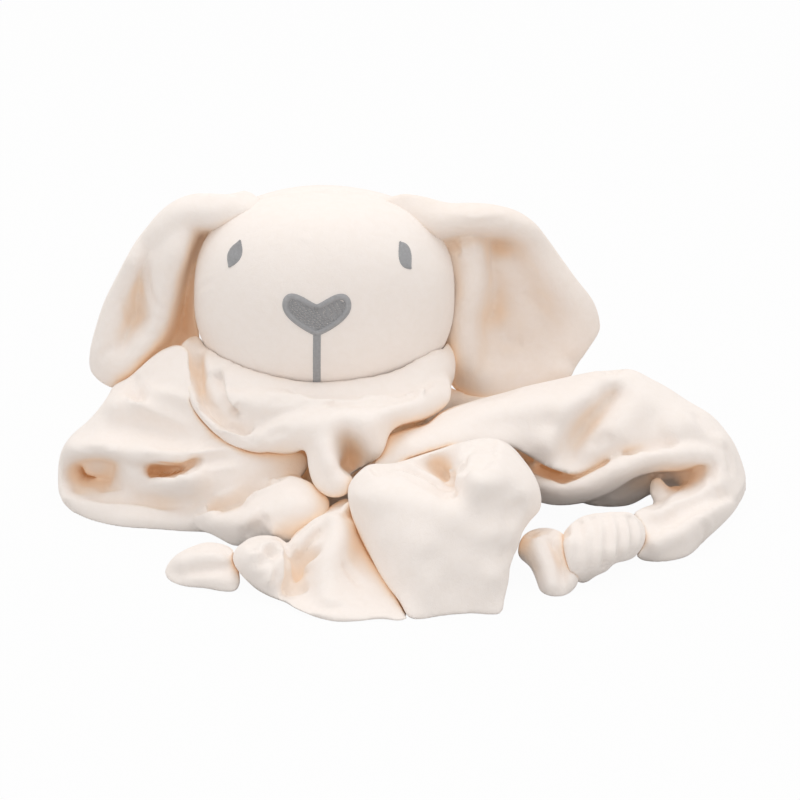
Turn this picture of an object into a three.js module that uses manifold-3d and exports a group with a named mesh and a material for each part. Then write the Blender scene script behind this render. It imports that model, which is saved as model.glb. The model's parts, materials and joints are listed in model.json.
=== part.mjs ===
import * as THREE from 'three';
import { mergeVertices } from 'three/addons/utils/BufferGeometryUtils.js';
import Module from 'manifold-3d';

// Comfort blanket: a stuffed rabbit head with two lined, floppy ears and an embroidered face, sewn by a
// gathered neck to the middle of a double square of velour. The square lies crumpled round the neck, its
// left and right front corners are tied in knots, and its front corner is turned up as a loose flap.
// The origin is on the floor under the middle of the head. +X is the viewer's right, +Y is the back of
// the toy and +Z is up. All lengths are in millimetres.

const wasm = await Module();
wasm.setup();

// Driving dimensions
const blanketSide = 320;
const neckRadius = 17;
const neckLength = 8;
const threadRadius = 1.2;
const headWidth = 112;
const headDepth = 94;
const headHeight = 88;
const panelThickness = 2;
const earLength = 100;
const earPlyThickness = 3;
const leftEarBend = 7.5;
const rightEarBend = 16;
const flapBend = 30;
const stitchHeight = 1.2;
const noseWidth = 28.3;
const noseHeight = 17.6;
const noseBorder = 2.4;
const noseRise = 5;
const noseOffset = -2;
const mouthWidth = 3.4;
const mouthLength = 25;
const eyeLength = 11;
const eyeWidth = 5.2;
const eyeSpacing = 71;
const eyeRise = 25.5;
const clearance = 0.3;
const plyGap = 0.5;
const floorFlat = 0.5;

// How far each moving part turns, in degrees
const headNod = 25;
const earLift = 75;
const flapLift = 60;
const leftTailSwing = 50;
const rightTailSwing = 40;

// The folds of the gathered square are laid out in shares of its reach from the neck, and so is the heap
// under the neck, which the head stands on.
const reachShare = 0.3125;
const moundRadiusShare = 0.56;
const moundHeightShare = 0.32;
const farShare = 6;
const reach = blanketSide * reachShare;
const moundRadius = reach * moundRadiusShare;
const moundHeight = reach * moundHeightShare;
const far = reach * farShare;
const headBottom = moundHeight + neckLength;
const headCentreHeight = headBottom + headHeight / 2;

const halfTurn = Math.PI;
const across = new THREE.Vector3(1, 0, 0);
const back = new THREE.Vector3(0, 1, 0);
const up = new THREE.Vector3(0, 0, 1);

// How close two points count as one, and how far a cut surface may be evened out.
const mergeTolerance = 0.001;
const cutTolerance = 0.2;

const velour = { color: 0xf8eade, roughness: 0.95, metalness: 0 };
const earLining = { color: 0xfaeee4, roughness: 0.9, metalness: 0 };
const greyThread = { color: 0x8f8f92, roughness: 0.55, metalness: 0 };
const creamThread = { color: 0xefe0d2, roughness: 0.6, metalness: 0 };
const wadding = { color: 0xfdfdfb, roughness: 1, metalness: 0 };

// Solids

// A closed geometry as a solid that can be joined and cut.
function solidOf(geometry) {
  const bare = geometry.clone();
  bare.deleteAttribute('normal');
  bare.deleteAttribute('uv');
  const merged = mergeVertices(bare, mergeTolerance);
  const mesh = new wasm.Mesh({
    numProp: 3,
    vertProperties: new Float32Array(merged.attributes.position.array),
    triVerts: new Uint32Array(merged.index.array),
  });
  return new wasm.Manifold(mesh);
}

// A solid as a three.js geometry.
function geometryOf(solid) {
  const mesh = solid.getMesh();
  const geometry = new THREE.BufferGeometry();
  geometry.setAttribute('position', new THREE.BufferAttribute(new Float32Array(mesh.vertProperties), 3));
  geometry.setIndex(new THREE.BufferAttribute(new Uint32Array(mesh.triVerts), 1));
  return geometry;
}

// A closed geometry from its points and faces, turned so that its faces point out.
function closedGeometry(points, faces) {
  let volume = 0;
  const edge = new THREE.Vector3();
  faces.forEach(([a, b, c]) => {
    volume += points[a].dot(edge.crossVectors(points[b], points[c]));
  });
  const turned = volume < 0 ? faces.map(([a, b, c]) => [a, c, b]) : faces;
  const geometry = new THREE.BufferGeometry().setFromPoints(points);
  geometry.setIndex(turned.flat());
  return geometry;
}

// The largest body of a solid: a cut can leave crumbs of a fold behind its neighbours.
function largest(solid) {
  const bodies = solid.decompose();
  return bodies.reduce((most, body) => (body.volume() > most.volume() ? body : most));
}

function boxSolid(width, depth, height, centre) {
  return solidOf(new THREE.BoxGeometry(width, depth, height).translate(centre.x, centre.y, centre.z));
}

// Folds

// The places of a fold's columns across its width, in shares of half of it: a flat, bent sheet has more
// of them than a plump roll.
const sheetColumnShares = [-1, -0.8, -0.4, 0, 0.4, 0.8, 1];
const rollColumnShares = [-1, -0.66, 0, 0.66, 1];
const sheetRoundness = 3.5;
const rollRoundness = 2.1;
const leastEndShare = 0.16;

// A point of a bent sheet's middle line and the turn of the sheet there, at a distance along it.
function bentMiddle(distance, bend, radius) {
  const angle = Math.abs(bend);
  const arc = (angle / 2) * radius;
  const run = Math.min(Math.abs(distance), arc);
  const turn = run / radius;
  const leg = Math.abs(distance) - run;
  const side = Math.sign(distance);
  return {
    out: side * (radius * Math.sin(turn) + leg * Math.cos(turn)),
    rise: -Math.sign(bend) * (radius * (1 - Math.cos(turn)) + leg * Math.sin(turn)),
    turn: side * turn * Math.sign(bend),
  };
}

// One section of a fold: its outline's points round the route's own point, first along the top, then
// back along the underside.
function foldSection(place, sizes, form, grow) {
  const { normal, side } = place;
  const halfWidth = sizes.width / 2 + grow;
  const halfThickness = sizes.thickness / 2 + grow;
  const top = [];
  const under = [];
  form.columns.forEach((share) => {
    const fall = Math.pow(1 - Math.pow(Math.abs(share), form.roundness), 1 / form.roundness);
    const distance = (share - sizes.apex) * halfWidth;
    const middle = bentMiddle(distance, sizes.bend, form.bendRadius);
    const outward = new THREE.Vector3()
      .addScaledVector(side, Math.sin(middle.turn))
      .addScaledVector(normal, Math.cos(middle.turn));
    const base = place.point.clone()
      .addScaledVector(side, middle.out)
      .addScaledVector(normal, middle.rise)
      .addScaledVector(outward, form.offset);
    top.push(base.clone().addScaledVector(outward, fall * halfThickness));
    under.push(base.clone().addScaledVector(outward, -fall * halfThickness));
  });
  return { top, under };
}

// The closed skin over a row of sections. The first and last columns are shared edges.
function skinOf(sections) {
  const points = [];
  const columns = sections[0].top.length;
  const ringSize = 2 * columns - 2;
  sections.forEach(({ top, under }) => {
    points.push(...top, ...under.slice(1, -1).reverse());
  });
  const at = (ring, index) => ring * ringSize + ((index + ringSize) % ringSize);
  const faces = [];
  for (let ring = 0; ring < sections.length - 1; ring += 1) {
    for (let index = 0; index < ringSize; index += 1) {
      faces.push([at(ring, index), at(ring, index + 1), at(ring + 1, index + 1)]);
      faces.push([at(ring, index), at(ring + 1, index + 1), at(ring + 1, index)]);
    }
  }
  [0, sections.length - 1].forEach((ring) => {
    const flip = ring === 0;
    for (let column = 0; column < columns - 1; column += 1) {
      const corners = [at(ring, column), at(ring, column + 1), at(ring, -column - 1), at(ring, -column)];
      const triangles = [[corners[0], corners[1], corners[2]], [corners[0], corners[2], corners[3]]];
      triangles.filter(([a, b, c]) => a !== b && b !== c && c !== a)
        .forEach(([a, b, c]) => faces.push(flip ? [a, c, b] : [a, b, c]));
    }
  });
  return closedGeometry(points, faces);
}

// A fold of cloth as a slab carried along a route. Each row of its table says, in shares of the fold's
// unit length, where the route passes (x, y, z), how wide and thick the fold is there, then how far it
// is bent round its own middle and rolled about the route in shares of a half turn, and last where the
// bend lies in shares of half the width. The form says which way its face looks where the route starts.
function foldGeometry(rowShares, form, grow = 0) {
  const { unit, rings } = form;
  const places = routePlaces(rowShares, form);
  const curves = sizeCurves(rowShares);
  const run = [0];
  for (let ring = 1; ring <= rings; ring += 1) {
    run.push(run[ring - 1] + places[ring].point.distanceTo(places[ring - 1].point));
  }
  const sections = places.map((place, ring) => {
    const span = curves.spans.getPoint(place.along);
    const turn = curves.turns.getPoint(place.along);
    const startEase = endEase(run[ring], form.startShare * unit);
    const ease = startEase * endEase(run[rings] - run[ring], form.endShare * unit);
    const width = span.x * unit * ease;
    const thickness = span.y * unit * Math.sqrt(ease);
    const point = place.point.clone();
    if (ring === 0) point.addScaledVector(place.tangent, -grow);
    if (ring === rings) point.addScaledVector(place.tangent, grow);
    const rolled = rolledPlace(place, point, turn.x * halfTurn);
    return foldSection(rolled, { width, thickness, bend: span.z * halfTurn, apex: turn.y }, form, grow);
  });
  return skinOf(sections);
}

// The route's points, each with the way the fold looks there, carried along without a twist.
function routePlaces(rowShares, form) {
  const route = new THREE.CatmullRomCurve3(
    rowShares.map(([x, y, z]) => new THREE.Vector3(x, y, z).multiplyScalar(form.unit).add(form.origin)));
  const places = [];
  let normal = form.face.clone();
  for (let ring = 0; ring <= form.rings; ring += 1) {
    const even = ring / form.rings;
    const drawn = (1 - Math.cos(even * halfTurn)) / 2;
    const along = THREE.MathUtils.lerp(even, drawn, form.crowdingShare);
    const tangent = route.getTangent(along);
    normal = normal.clone().addScaledVector(tangent, -normal.dot(tangent)).normalize();
    places.push({ along, tangent, normal, point: route.getPoint(along) });
  }
  return places;
}

// A table's width, thickness and bend as one smooth curve, and its roll and apex as another.
function sizeCurves(rowShares) {
  const spans = new THREE.CatmullRomCurve3(
    rowShares.map(([, , , width, thickness, bend]) => new THREE.Vector3(width, thickness, bend ?? 0)));
  const turns = new THREE.CatmullRomCurve3(
    rowShares.map(([, , , , , , roll, apex], index) => new THREE.Vector3(roll ?? 0, apex ?? 0, index)));
  return { spans, turns };
}

// A place on the route with its section rolled about the route.
function rolledPlace(place, point, roll) {
  const side = place.tangent.clone().cross(place.normal);
  return {
    point,
    side: side.clone().multiplyScalar(Math.cos(roll)).addScaledVector(place.normal, Math.sin(roll)),
    normal: place.normal.clone().multiplyScalar(Math.cos(roll)).addScaledVector(side, -Math.sin(roll)),
  };
}

// How much of its full width a fold has, at a distance from an end that is rounded over a length.
function endEase(distance, length) {
  if (length <= 0 || distance >= length) return 1;
  const left = 1 - distance / length;
  return Math.max(leastEndShare, Math.sqrt(1 - left * left));
}

// A sheet is wide, thin and bent round a crease, and a roll is plump. Both can be rounded at their ends.
const foldDefaults = {
  unit: reach,
  origin: new THREE.Vector3(),
  face: up,
  offset: 0,
  startShare: 0,
  endShare: 0,
  crowdingShare: 0.5,
};
const sheetBendShare = 0.12;

function sheet(rowShares, options = {}) {
  const form = {
    ...foldDefaults,
    columns: sheetColumnShares,
    roundness: sheetRoundness,
    bendRadius: reach * sheetBendShare,
    rings: 8,
    ...options,
  };
  return (grow) => foldGeometry(rowShares, form, grow);
}

function roll(rowShares, options = {}) {
  const form = {
    ...foldDefaults,
    columns: rollColumnShares,
    roundness: rollRoundness,
    bendRadius: reach * sheetBendShare,
    rings: 8,
    ...options,
  };
  return (grow) => foldGeometry(rowShares, form, grow);
}

// Head

const headCentre = new THREE.Vector3(0, 0, headCentreHeight);
const headFullness = 2.5;
const headSides = 18;
const headRings = 8;
const seamShare = 0.05;

// The stuffed head: fuller than an ellipsoid, and a little taller at the crown.
function headGeometry(grow) {
  const halfHeight = headHeight / 2 + grow;
  const halfWidth = headWidth / 2 + grow;
  const profile = [];
  for (let ring = 0; ring <= headRings; ring += 1) {
    const lean = -Math.cos((ring / headRings) * halfTurn);
    const wide = Math.pow(1 - Math.pow(Math.abs(lean), headFullness), 1 / headFullness);
    const ends = ring === 0 || ring === headRings;
    profile.push(new THREE.Vector2(ends ? 0 : halfWidth * wide, halfHeight * lean));
  }
  return new THREE.LatheGeometry(profile, headSides)
    .rotateX(halfTurn / 2)
    .scale(1, (headDepth / 2 + grow) / halfWidth, 1)
    .translate(headCentre.x, headCentre.y, headCentre.z);
}

const headSolids = new Map();
function headSolid(grow) {
  if (!headSolids.has(grow)) headSolids.set(grow, solidOf(headGeometry(grow)));
  return headSolids.get(grow);
}

// Half of the head's velour cover: everything before or behind the seam that runs over the crown.
function headPanel(before) {
  const seam = headDepth * seamShare;
  const edge = before ? seam - clearance / 2 : seam + clearance / 2;
  const centre = new THREE.Vector3(0, edge + (before ? -far : far) / 2, headCentreHeight);
  const half = boxSolid(far, far, far, centre);
  return headSolid(0).subtract(headSolid(-panelThickness)).intersect(half);
}

// A prism through the face, over an outline that is drawn in the plane of the face.
function prismOf(outline) {
  const shape = new THREE.Shape(outline);
  const prism = new THREE.ExtrudeGeometry(shape, { depth: headDepth, bevelEnabled: false });
  return solidOf(prism.rotateX(halfTurn / 2));
}

// Embroidery: an outline, thrown onto the head and raised a little, with what lies within it left out.
function stitched(outline, within = null) {
  const raised = headSolid(clearance + stitchHeight).subtract(headSolid(clearance));
  const patch = prismOf(outline).intersect(raised);
  return largest(within ? patch.subtract(prismOf(within)) : patch);
}

const noseCentre = new THREE.Vector2(noseOffset, headCentreHeight + noseRise);
const noseSteps = 24;
const heartWaveShares = [0.448, -0.172, -0.069, -0.034];
const heartDropShare = 0.086;
const heartShoulder = 1.5;

// A soft heart, drawn in from its edge by an inset.
function noseOutline(inset) {
  const points = [];
  for (let step = 0; step < noseSteps; step += 1) {
    const angle = (step / noseSteps) * 2 * halfTurn;
    const sideways = Math.sign(Math.sin(angle)) * Math.pow(Math.abs(Math.sin(angle)), heartShoulder);
    const waves = heartWaveShares.map((share, wave) => share * Math.cos((wave + 1) * angle));
    const upward = waves.reduce((sum, wave) => sum + wave, heartDropShare);
    points.push(new THREE.Vector2(
      noseCentre.x + (noseWidth / 2 - inset) * sideways,
      noseCentre.y + (noseHeight - inset - inset) * upward));
  }
  return points;
}

// A leaf that stands almost upright and leans towards the crown.
const eyeSteps = 12;
const eyeLean = 0.42;
function eyeOutline(side) {
  const centreX = noseCentre.x / 2 + side * eyeSpacing / 2;
  const centreZ = headCentreHeight + eyeRise;
  const lean = -side * eyeLean;
  const points = [];
  for (let step = 0; step < eyeSteps; step += 1) {
    const angle = (step / eyeSteps) * 2 * halfTurn;
    const along = (eyeLength / 2) * Math.cos(angle);
    const wide = (eyeWidth / 2) * Math.sin(angle) * Math.abs(Math.sin(angle));
    points.push(new THREE.Vector2(
      centreX + wide * Math.cos(lean) + along * Math.sin(lean),
      centreZ + along * Math.cos(lean) - wide * Math.sin(lean)));
  }
  return points;
}

function mouthOutline() {
  const top = noseCentre.y - noseHeight / 2 - clearance;
  const left = noseCentre.x - mouthWidth / 2;
  const right = noseCentre.x + mouthWidth / 2;
  return [
    new THREE.Vector2(left, top - mouthLength),
    new THREE.Vector2(right, top - mouthLength),
    new THREE.Vector2(right, top),
    new THREE.Vector2(left, top),
  ];
}

// Ears

// Where an ear is sewn on: the end of its seam towards the crown, in shares of half the head's sizes.
// The ear hinges there.
const earSeatShares = [0.446, 0.064, 0.818];
const halfHead = new THREE.Vector3(headWidth, headDepth, headHeight).divideScalar(2);
const rightEarSeat = new THREE.Vector3(...earSeatShares).multiply(halfHead).add(headCentre);
const leftEarSeat = rightEarSeat.clone().multiply(new THREE.Vector3(-1, 1, 1));

// Each ear is two plies of velour sewn together, so both follow one table and lie to either side of its
// middle. A row says where the ear's middle passes, counted from its seat, how wide the ear is there, how
// far it is bent and where the bend lies. Lengths are shares of the ear's length.
const leftEarShares = [
  [0.05, -0.01, -0.04, 0.26, 0.3, 0],
  [-0.13, 0, 0.025, 0.34, 0.44, 0],
  [-0.32, 0.01, 0.015, 0.46, 0.6, 0],
  [-0.47, 0.02, -0.07, 0.6, 0.8, -0.08],
  [-0.57, 0.03, -0.21, 0.76, 0.9, -0.16],
  [-0.655, 0.03, -0.37, 0.86, 0.92, -0.2],
  [-0.715, 0.02, -0.51, 0.84, 0.9, -0.15],
  [-0.75, 0.01, -0.64, 0.66, 0.85, -0.1],
  [-0.75, 0, -0.74, 0.44, 0.7, 0],
  [-0.73, -0.01, -0.82, 0.26, 0.5, 0],
];
const rightEarShares = [
  [-0.01, -0.01, -0.05, 0.24, 0.4, 0],
  [0.18, 0.01, -0.075, 0.4, 0.44, 0],
  [0.35, 0.04, -0.16, 0.6, 0.4, 0],
  [0.47, 0.07, -0.29, 0.76, 0.36, 0],
  [0.54, 0.09, -0.44, 0.82, 0.32, 0],
  [0.55, 0.09, -0.6, 0.82, 0.3, 0],
  [0.52, 0.07, -0.75, 0.74, 0.28, 0],
  [0.48, 0.04, -0.87, 0.52, 0.26, 0],
];
const earTipShare = 0.14;
const earCrowdingShare = 0.4;

// One ply of an ear.
function earPly(earShares, outer, options) {
  const plyShare = earPlyThickness / earLength;
  const rowShares = earShares.map(
    ([x, y, z, width, bend, apex]) => [x, y, z, width, plyShare, bend, 0, apex]);
  return sheet(rowShares, {
    unit: earLength,
    offset: ((outer ? 1 : -1) * (earPlyThickness + plyGap)) / 2,
    endShare: earTipShare,
    crowdingShare: earCrowdingShare,
    ...options,
  });
}

// Blanket

const leftPanelShares = [
  [-0.34, -0.36, 0.43, 0.50, 0.10, 0.15, 0.12],
  [-0.57, -0.35, 0.44, 0.62, 0.10, 0.15, 0.13],
  [-0.76, -0.36, 0.39, 0.55, 0.10, 0.13, 0.09],
  [-0.92, -0.37, 0.335, 0.47, 0.10, 0.08, 0.04],
  [-1.035, -0.38, 0.265, 0.43, 0.10, 0.03, 0.01],
  [-1.075, -0.385, 0.165, 0.42, 0.10, 0, 0],
  [-1.00, -0.39, 0.07, 0.42, 0.11, 0, 0],
  [-0.80, -0.41, 0.055, 0.44, 0.12, 0, 0],
  [-0.60, -0.43, 0.055, 0.42, 0.12, 0, 0],
  [-0.42, -0.45, 0.055, 0.38, 0.12, 0, 0],
];
const leftInnerShares = [
  [-0.93, -0.42, 0.15, 0.16, 0.10, 0, -0.05],
  [-0.80, -0.47, 0.17, 0.26, 0.13, 0.2, -0.10],
  [-0.62, -0.54, 0.17, 0.34, 0.16, 0.2, -0.12],
  [-0.40, -0.62, 0.19, 0.42, 0.19, 0.2, -0.12],
  [-0.20, -0.67, 0.22, 0.40, 0.20, 0.2, -0.10],
  [-0.02, -0.69, 0.23, 0.26, 0.16, 0, 0],
];
const leftBulgeShares = [
  [-0.52, -0.74, 0.07, 0.14, 0.12],
  [-0.42, -0.84, 0.10, 0.30, 0.20],
  [-0.29, -0.93, 0.13, 0.38, 0.25],
  [-0.13, -0.95, 0.17, 0.38, 0.27],
  [0.03, -0.92, 0.20, 0.32, 0.24],
  [0.17, -0.90, 0.21, 0.24, 0.18],
];
const collarLowerShares = [
  [-0.53, -0.04, 0.575, 0.14, 0.12],
  [-0.54, -0.20, 0.515, 0.15, 0.12],
  [-0.50, -0.34, 0.44, 0.16, 0.13],
  [-0.43, -0.47, 0.385, 0.17, 0.14],
  [-0.30, -0.57, 0.37, 0.18, 0.14],
  [-0.15, -0.63, 0.40, 0.22, 0.15],
  [0.00, -0.66, 0.43, 0.24, 0.15],
];
const collarUpperShares = [
  [-0.47, -0.14, 0.54, 0.13, 0.10],
  [-0.42, -0.29, 0.48, 0.16, 0.12],
  [-0.32, -0.40, 0.44, 0.20, 0.14],
  [-0.16, -0.48, 0.455, 0.24, 0.14],
  [0.03, -0.51, 0.475, 0.24, 0.14],
  [0.24, -0.48, 0.485, 0.20, 0.13],
  [0.39, -0.38, 0.51, 0.16, 0.12],
  [0.46, -0.22, 0.53, 0.13, 0.10],
];
const frontSwagShares = [
  [0.51, -0.24, 0.52, 0.16, 0.14],
  [0.48, -0.40, 0.50, 0.20, 0.16],
  [0.34, -0.56, 0.49, 0.24, 0.17],
  [0.16, -0.64, 0.46, 0.24, 0.17],
  [0.02, -0.69, 0.41, 0.20, 0.16],
  [-0.005, -0.77, 0.33, 0.17, 0.15],
  [0.06, -0.83, 0.27, 0.17, 0.15],
  [0.18, -0.84, 0.265, 0.16, 0.14],
  [0.30, -0.82, 0.28, 0.13, 0.12],
];
const frontFanShares = [
  [-0.17, -1.30, 0.07, 0.22, 0.13, 0, -0.04],
  [-0.06, -1.275, 0.11, 0.46, 0.18, 0.2, -0.09],
  [0.08, -1.26, 0.13, 0.62, 0.20, 0.2, -0.12],
  [0.26, -1.28, 0.11, 0.60, 0.17, 0.15, -0.11],
  [0.42, -1.31, 0.07, 0.46, 0.12, 0.1, -0.08],
];
const leftKnotShares = [
  [-0.33, -1.33, 0.115, 0.16, 0.16],
  [-0.28, -1.33, 0.125, 0.27, 0.25],
  [-0.20, -1.33, 0.135, 0.30, 0.275],
  [-0.12, -1.32, 0.125, 0.25, 0.24],
  [-0.08, -1.31, 0.12, 0.16, 0.16],
];
const leftTailShares = [
  [-0.30, -1.28, 0.085, 0.16, 0.11],
  [-0.39, -1.25, 0.085, 0.33, 0.13, 0.1, 0.03],
  [-0.48, -1.24, 0.08, 0.33, 0.13, 0.1, 0.03],
  [-0.55, -1.25, 0.07, 0.23, 0.11],
  [-0.61, -1.27, 0.06, 0.10, 0.08],
];
const flapShares = [
  [0.48, -0.84, 0.39, 0.36, 0.10, 0.1, 0, 0],
  [0.48, -0.96, 0.345, 0.66, 0.12, 0.12, 0, 0],
  [0.475, -1.13, 0.26, 0.80, 0.13, 0.14, 0, 0],
  [0.48, -1.30, 0.16, 0.68, 0.14, 0.12, 0, 0],
  [0.51, -1.46, 0.07, 0.54, 0.13, 0.08, 0, 0],
  [0.52, -1.56, 0.03, 0.44, 0.08, 0, 0, 0],
];
const flapHoodShares = [
  [0.36, -0.90, 0.385, 0.12, 0.10],
  [0.46, -0.83, 0.43, 0.16, 0.11],
  [0.58, -0.82, 0.455, 0.20, 0.12],
  [0.71, -0.88, 0.44, 0.22, 0.12],
  [0.80, -1.00, 0.38, 0.22, 0.12],
  [0.82, -1.13, 0.29, 0.18, 0.11],
];
const rightPanelShares = [
  [0.10, -0.64, 0.39, 0.16, 0.16, 0, 0, 0],
  [0.34, -0.66, 0.385, 0.19, 0.17, 0, 0, 0],
  [0.55, -0.60, 0.43, 0.23, 0.17, 0, 0, 0],
  [0.79, -0.48, 0.455, 0.32, 0.17, 0.1, -0.08, 0],
  [1.03, -0.38, 0.43, 0.44, 0.15, 0.2, -0.20, 0],
  [1.27, -0.32, 0.40, 0.54, 0.13, 0.3, -0.24, 0],
  [1.47, -0.32, 0.345, 0.54, 0.12, 0.3, -0.22, 0],
  [1.62, -0.36, 0.28, 0.46, 0.12, 0.2, -0.18, 0],
  [1.70, -0.44, 0.20, 0.34, 0.12, 0, 0, 0],
];
const rightHemShares = [
  [0.84, -0.46, 0.11, 0.14, 0.14],
  [1.04, -0.45, 0.105, 0.19, 0.15],
  [1.19, -0.41, 0.14, 0.19, 0.15],
  [1.36, -0.39, 0.205, 0.19, 0.14],
  [1.54, -0.40, 0.24, 0.19, 0.14],
  [1.67, -0.41, 0.21, 0.14, 0.12],
];
const rightFloorShares = [
  [0.84, -0.34, 0.05, 0.20, 0.10],
  [1.03, -0.33, 0.06, 0.28, 0.12],
  [1.20, -0.36, 0.065, 0.28, 0.13],
  [1.39, -0.37, 0.06, 0.22, 0.12],
  [1.53, -0.40, 0.06, 0.16, 0.11],
];
const rightCornerShares = [
  [1.62, -0.40, 0.16, 0.22, 0.20],
  [1.65, -0.56, 0.14, 0.29, 0.25],
  [1.58, -0.78, 0.125, 0.33, 0.25],
  [1.46, -0.96, 0.12, 0.30, 0.23],
  [1.33, -1.05, 0.115, 0.18, 0.18],
];
const rightTailShares = [
  [1.06, -1.16, 0.045, 0.14, 0.10],
  [1.05, -1.13, 0.10, 0.14, 0.10],
  [0.97, -1.10, 0.145, 0.14, 0.10],
  [0.89, -1.12, 0.13, 0.14, 0.10],
  [0.87, -1.21, 0.08, 0.14, 0.10],
  [0.91, -1.31, 0.045, 0.13, 0.09],
];
const backCentreShares = [
  [0, 0.16, 0.32, 0.50, 0.10, 0.30, 0, 0],
  [0, 0.38, 0.22, 0.80, 0.10, 0.32, 0, 0],
  [0.02, 0.62, 0.12, 0.92, 0.09, 0.20, 0, 0],
  [0.03, 0.84, 0.055, 0.84, 0.08, 0.06, 0, 0],
];
const backLeftShares = [
  [-0.18, 0.05, 0.33, 0.44, 0.10, 0.34, 0, 0],
  [-0.46, 0.16, 0.235, 0.76, 0.10, 0.34, 0, 0],
  [-0.72, 0.30, 0.13, 0.80, 0.09, 0.22, 0, 0],
  [-0.94, 0.42, 0.055, 0.66, 0.08, 0.06, 0, 0],
];
const backRightShares = [
  [0.18, 0.03, 0.33, 0.44, 0.10, 0.34, 0, 0],
  [0.50, 0.10, 0.235, 0.76, 0.10, 0.34, 0, 0],
  [0.84, 0.20, 0.13, 0.84, 0.09, 0.22, 0, 0],
  [1.16, 0.28, 0.055, 0.66, 0.08, 0.06, 0, 0],
];

// The right knot: the corner is wound round itself, so its turns show as rings on a barrel.
const knotStartShares = [1.36, -1.04, 0.125];
const knotEndShares = [1.00, -1.19, 0.125];
const knotWidthShare = 0.285;
const knotRingShare = 0.04;
const knotTaperShare = 0.12;
const knotFullness = 0.45;
const knotTurns = 3;
const knotSteps = 12;
function rightKnotShares() {
  const start = new THREE.Vector3(...knotStartShares);
  const end = new THREE.Vector3(...knotEndShares);
  const rows = [];
  for (let step = 0; step <= knotSteps; step += 1) {
    const along = step / knotSteps;
    const place = start.clone().lerp(end, along);
    const belly = Math.sin(halfTurn * THREE.MathUtils.lerp(knotTaperShare, 1 - knotTaperShare, along));
    const ring = 1 - knotRingShare * Math.cos(along * knotTurns * 2 * halfTurn);
    const width = knotWidthShare * Math.pow(belly, knotFullness) * ring;
    rows.push([place.x, place.y, place.z, width, width]);
  }
  return rows;
}

// The middle of the square, heaped under the neck and standing flat on the floor.
const moundProfileShares = [[0, 0], [1, 0], [0.94, 0.4], [0.72, 0.78], [0.4, 1], [0, 1]];
const moundSides = 16;
function moundGeometry(grow) {
  const profile = moundProfileShares.map(([out, rise]) => new THREE.Vector2(
    out === 0 ? 0 : moundRadius * out + grow,
    rise === 0 ? -floorFlat - grow : moundHeight * rise + grow));
  return new THREE.LatheGeometry(profile, moundSides).rotateX(halfTurn / 2);
}

// The gathered neck: a short stump of cloth with a waist, where the thread that ties it lies.
const neckSides = 12;
const neckFootShare = 0.8;
const neckFlareShares = [1.2, 1.1];
const tieHeight = (moundHeight + headBottom) / 2;
function neckGeometry(grow) {
  const [footFlareShare, topFlareShare] = neckFlareShares;
  const bottom = moundHeight * neckFootShare - grow;
  const top = headBottom + grow;
  const waist = threadRadius + clearance;
  const profile = [
    new THREE.Vector2(0, bottom),
    new THREE.Vector2(neckRadius * footFlareShare + grow, bottom),
    new THREE.Vector2(neckRadius + grow, tieHeight - waist),
    new THREE.Vector2(neckRadius + grow, tieHeight + waist),
    new THREE.Vector2(neckRadius * topFlareShare + grow, top),
    new THREE.Vector2(0, top),
  ];
  return new THREE.LatheGeometry(profile, neckSides).rotateX(halfTurn / 2);
}

// The tie: a ring of thread that lies round the neck's waist.
const threadSides = 6;
function tieGeometry(grow) {
  const ringRadius = neckRadius + clearance + threadRadius;
  return new THREE.TorusGeometry(ringRadius, threadRadius + grow, threadSides, neckSides)
    .translate(0, 0, tieHeight);
}

// Bodies. Each one that moves turns on a hinge, and its meshes hang in a group that stands there.

const root = new THREE.Group();
const still = { group: root, hinge: null, parent: null };
const coarseSteps = 3;
const fineSteps = 6;

function movingBody(parent, pivot, axis, range, steps) {
  const group = new THREE.Group();
  const base = parent.hinge ? parent.hinge.pivot : new THREE.Vector3();
  group.position.copy(pivot).sub(base);
  parent.group.add(group);
  return { group, parent, hinge: { pivot, axis, range: THREE.MathUtils.degToRad(range), steps } };
}

// A copy of a geometry turned about a hinge.
function turned(geometry, hinge, angle) {
  const { x, y, z } = hinge.pivot;
  const turn = new THREE.Matrix4().makeTranslation(x, y, z)
    .multiply(new THREE.Matrix4().makeRotationAxis(hinge.axis, angle))
    .multiply(new THREE.Matrix4().makeTranslation(-x, -y, -z));
  return geometry.clone().applyMatrix4(turn);
}

// The angles at which a hinge's swing is looked at, the last of them its limit.
function swingAngles(hinge) {
  return Array.from({ length: hinge.steps }, (_, step) => (hinge.range * (step + 1)) / hinge.steps);
}

// The places that a body takes a geometry to, by its own hinge or by its parent's.
function swept(geometry, body) {
  const places = [geometry];
  for (let moving = body; moving.hinge; moving = moving.parent) {
    const { hinge } = moving;
    swingAngles(hinge).forEach((angle) => places.push(turned(geometry, hinge, angle)));
  }
  return places.map(solidOf);
}

// The places of a shape that stands still, as a moving body sees them while it turns.
function seenFrom(shape, body) {
  const geometry = shape(clearance);
  return swingAngles(body.hinge).map((angle) => solidOf(turned(geometry, body.hinge, -angle)));
}

const neckHingeShare = 0.065;
const flapHingeShares = [0.48, -0.84, 0.40];
const leftTailHingeShares = [-0.30, -1.29, 0.085];
const rightTailHingeShares = [1.05, -1.15, 0.08];
const onDrape = (placeShares) => new THREE.Vector3(...placeShares).multiplyScalar(reach);
const neckHinge = new THREE.Vector3(0, headDepth * neckHingeShare, headBottom);
const left = across.clone().negate();
const front = back.clone().negate();

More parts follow.
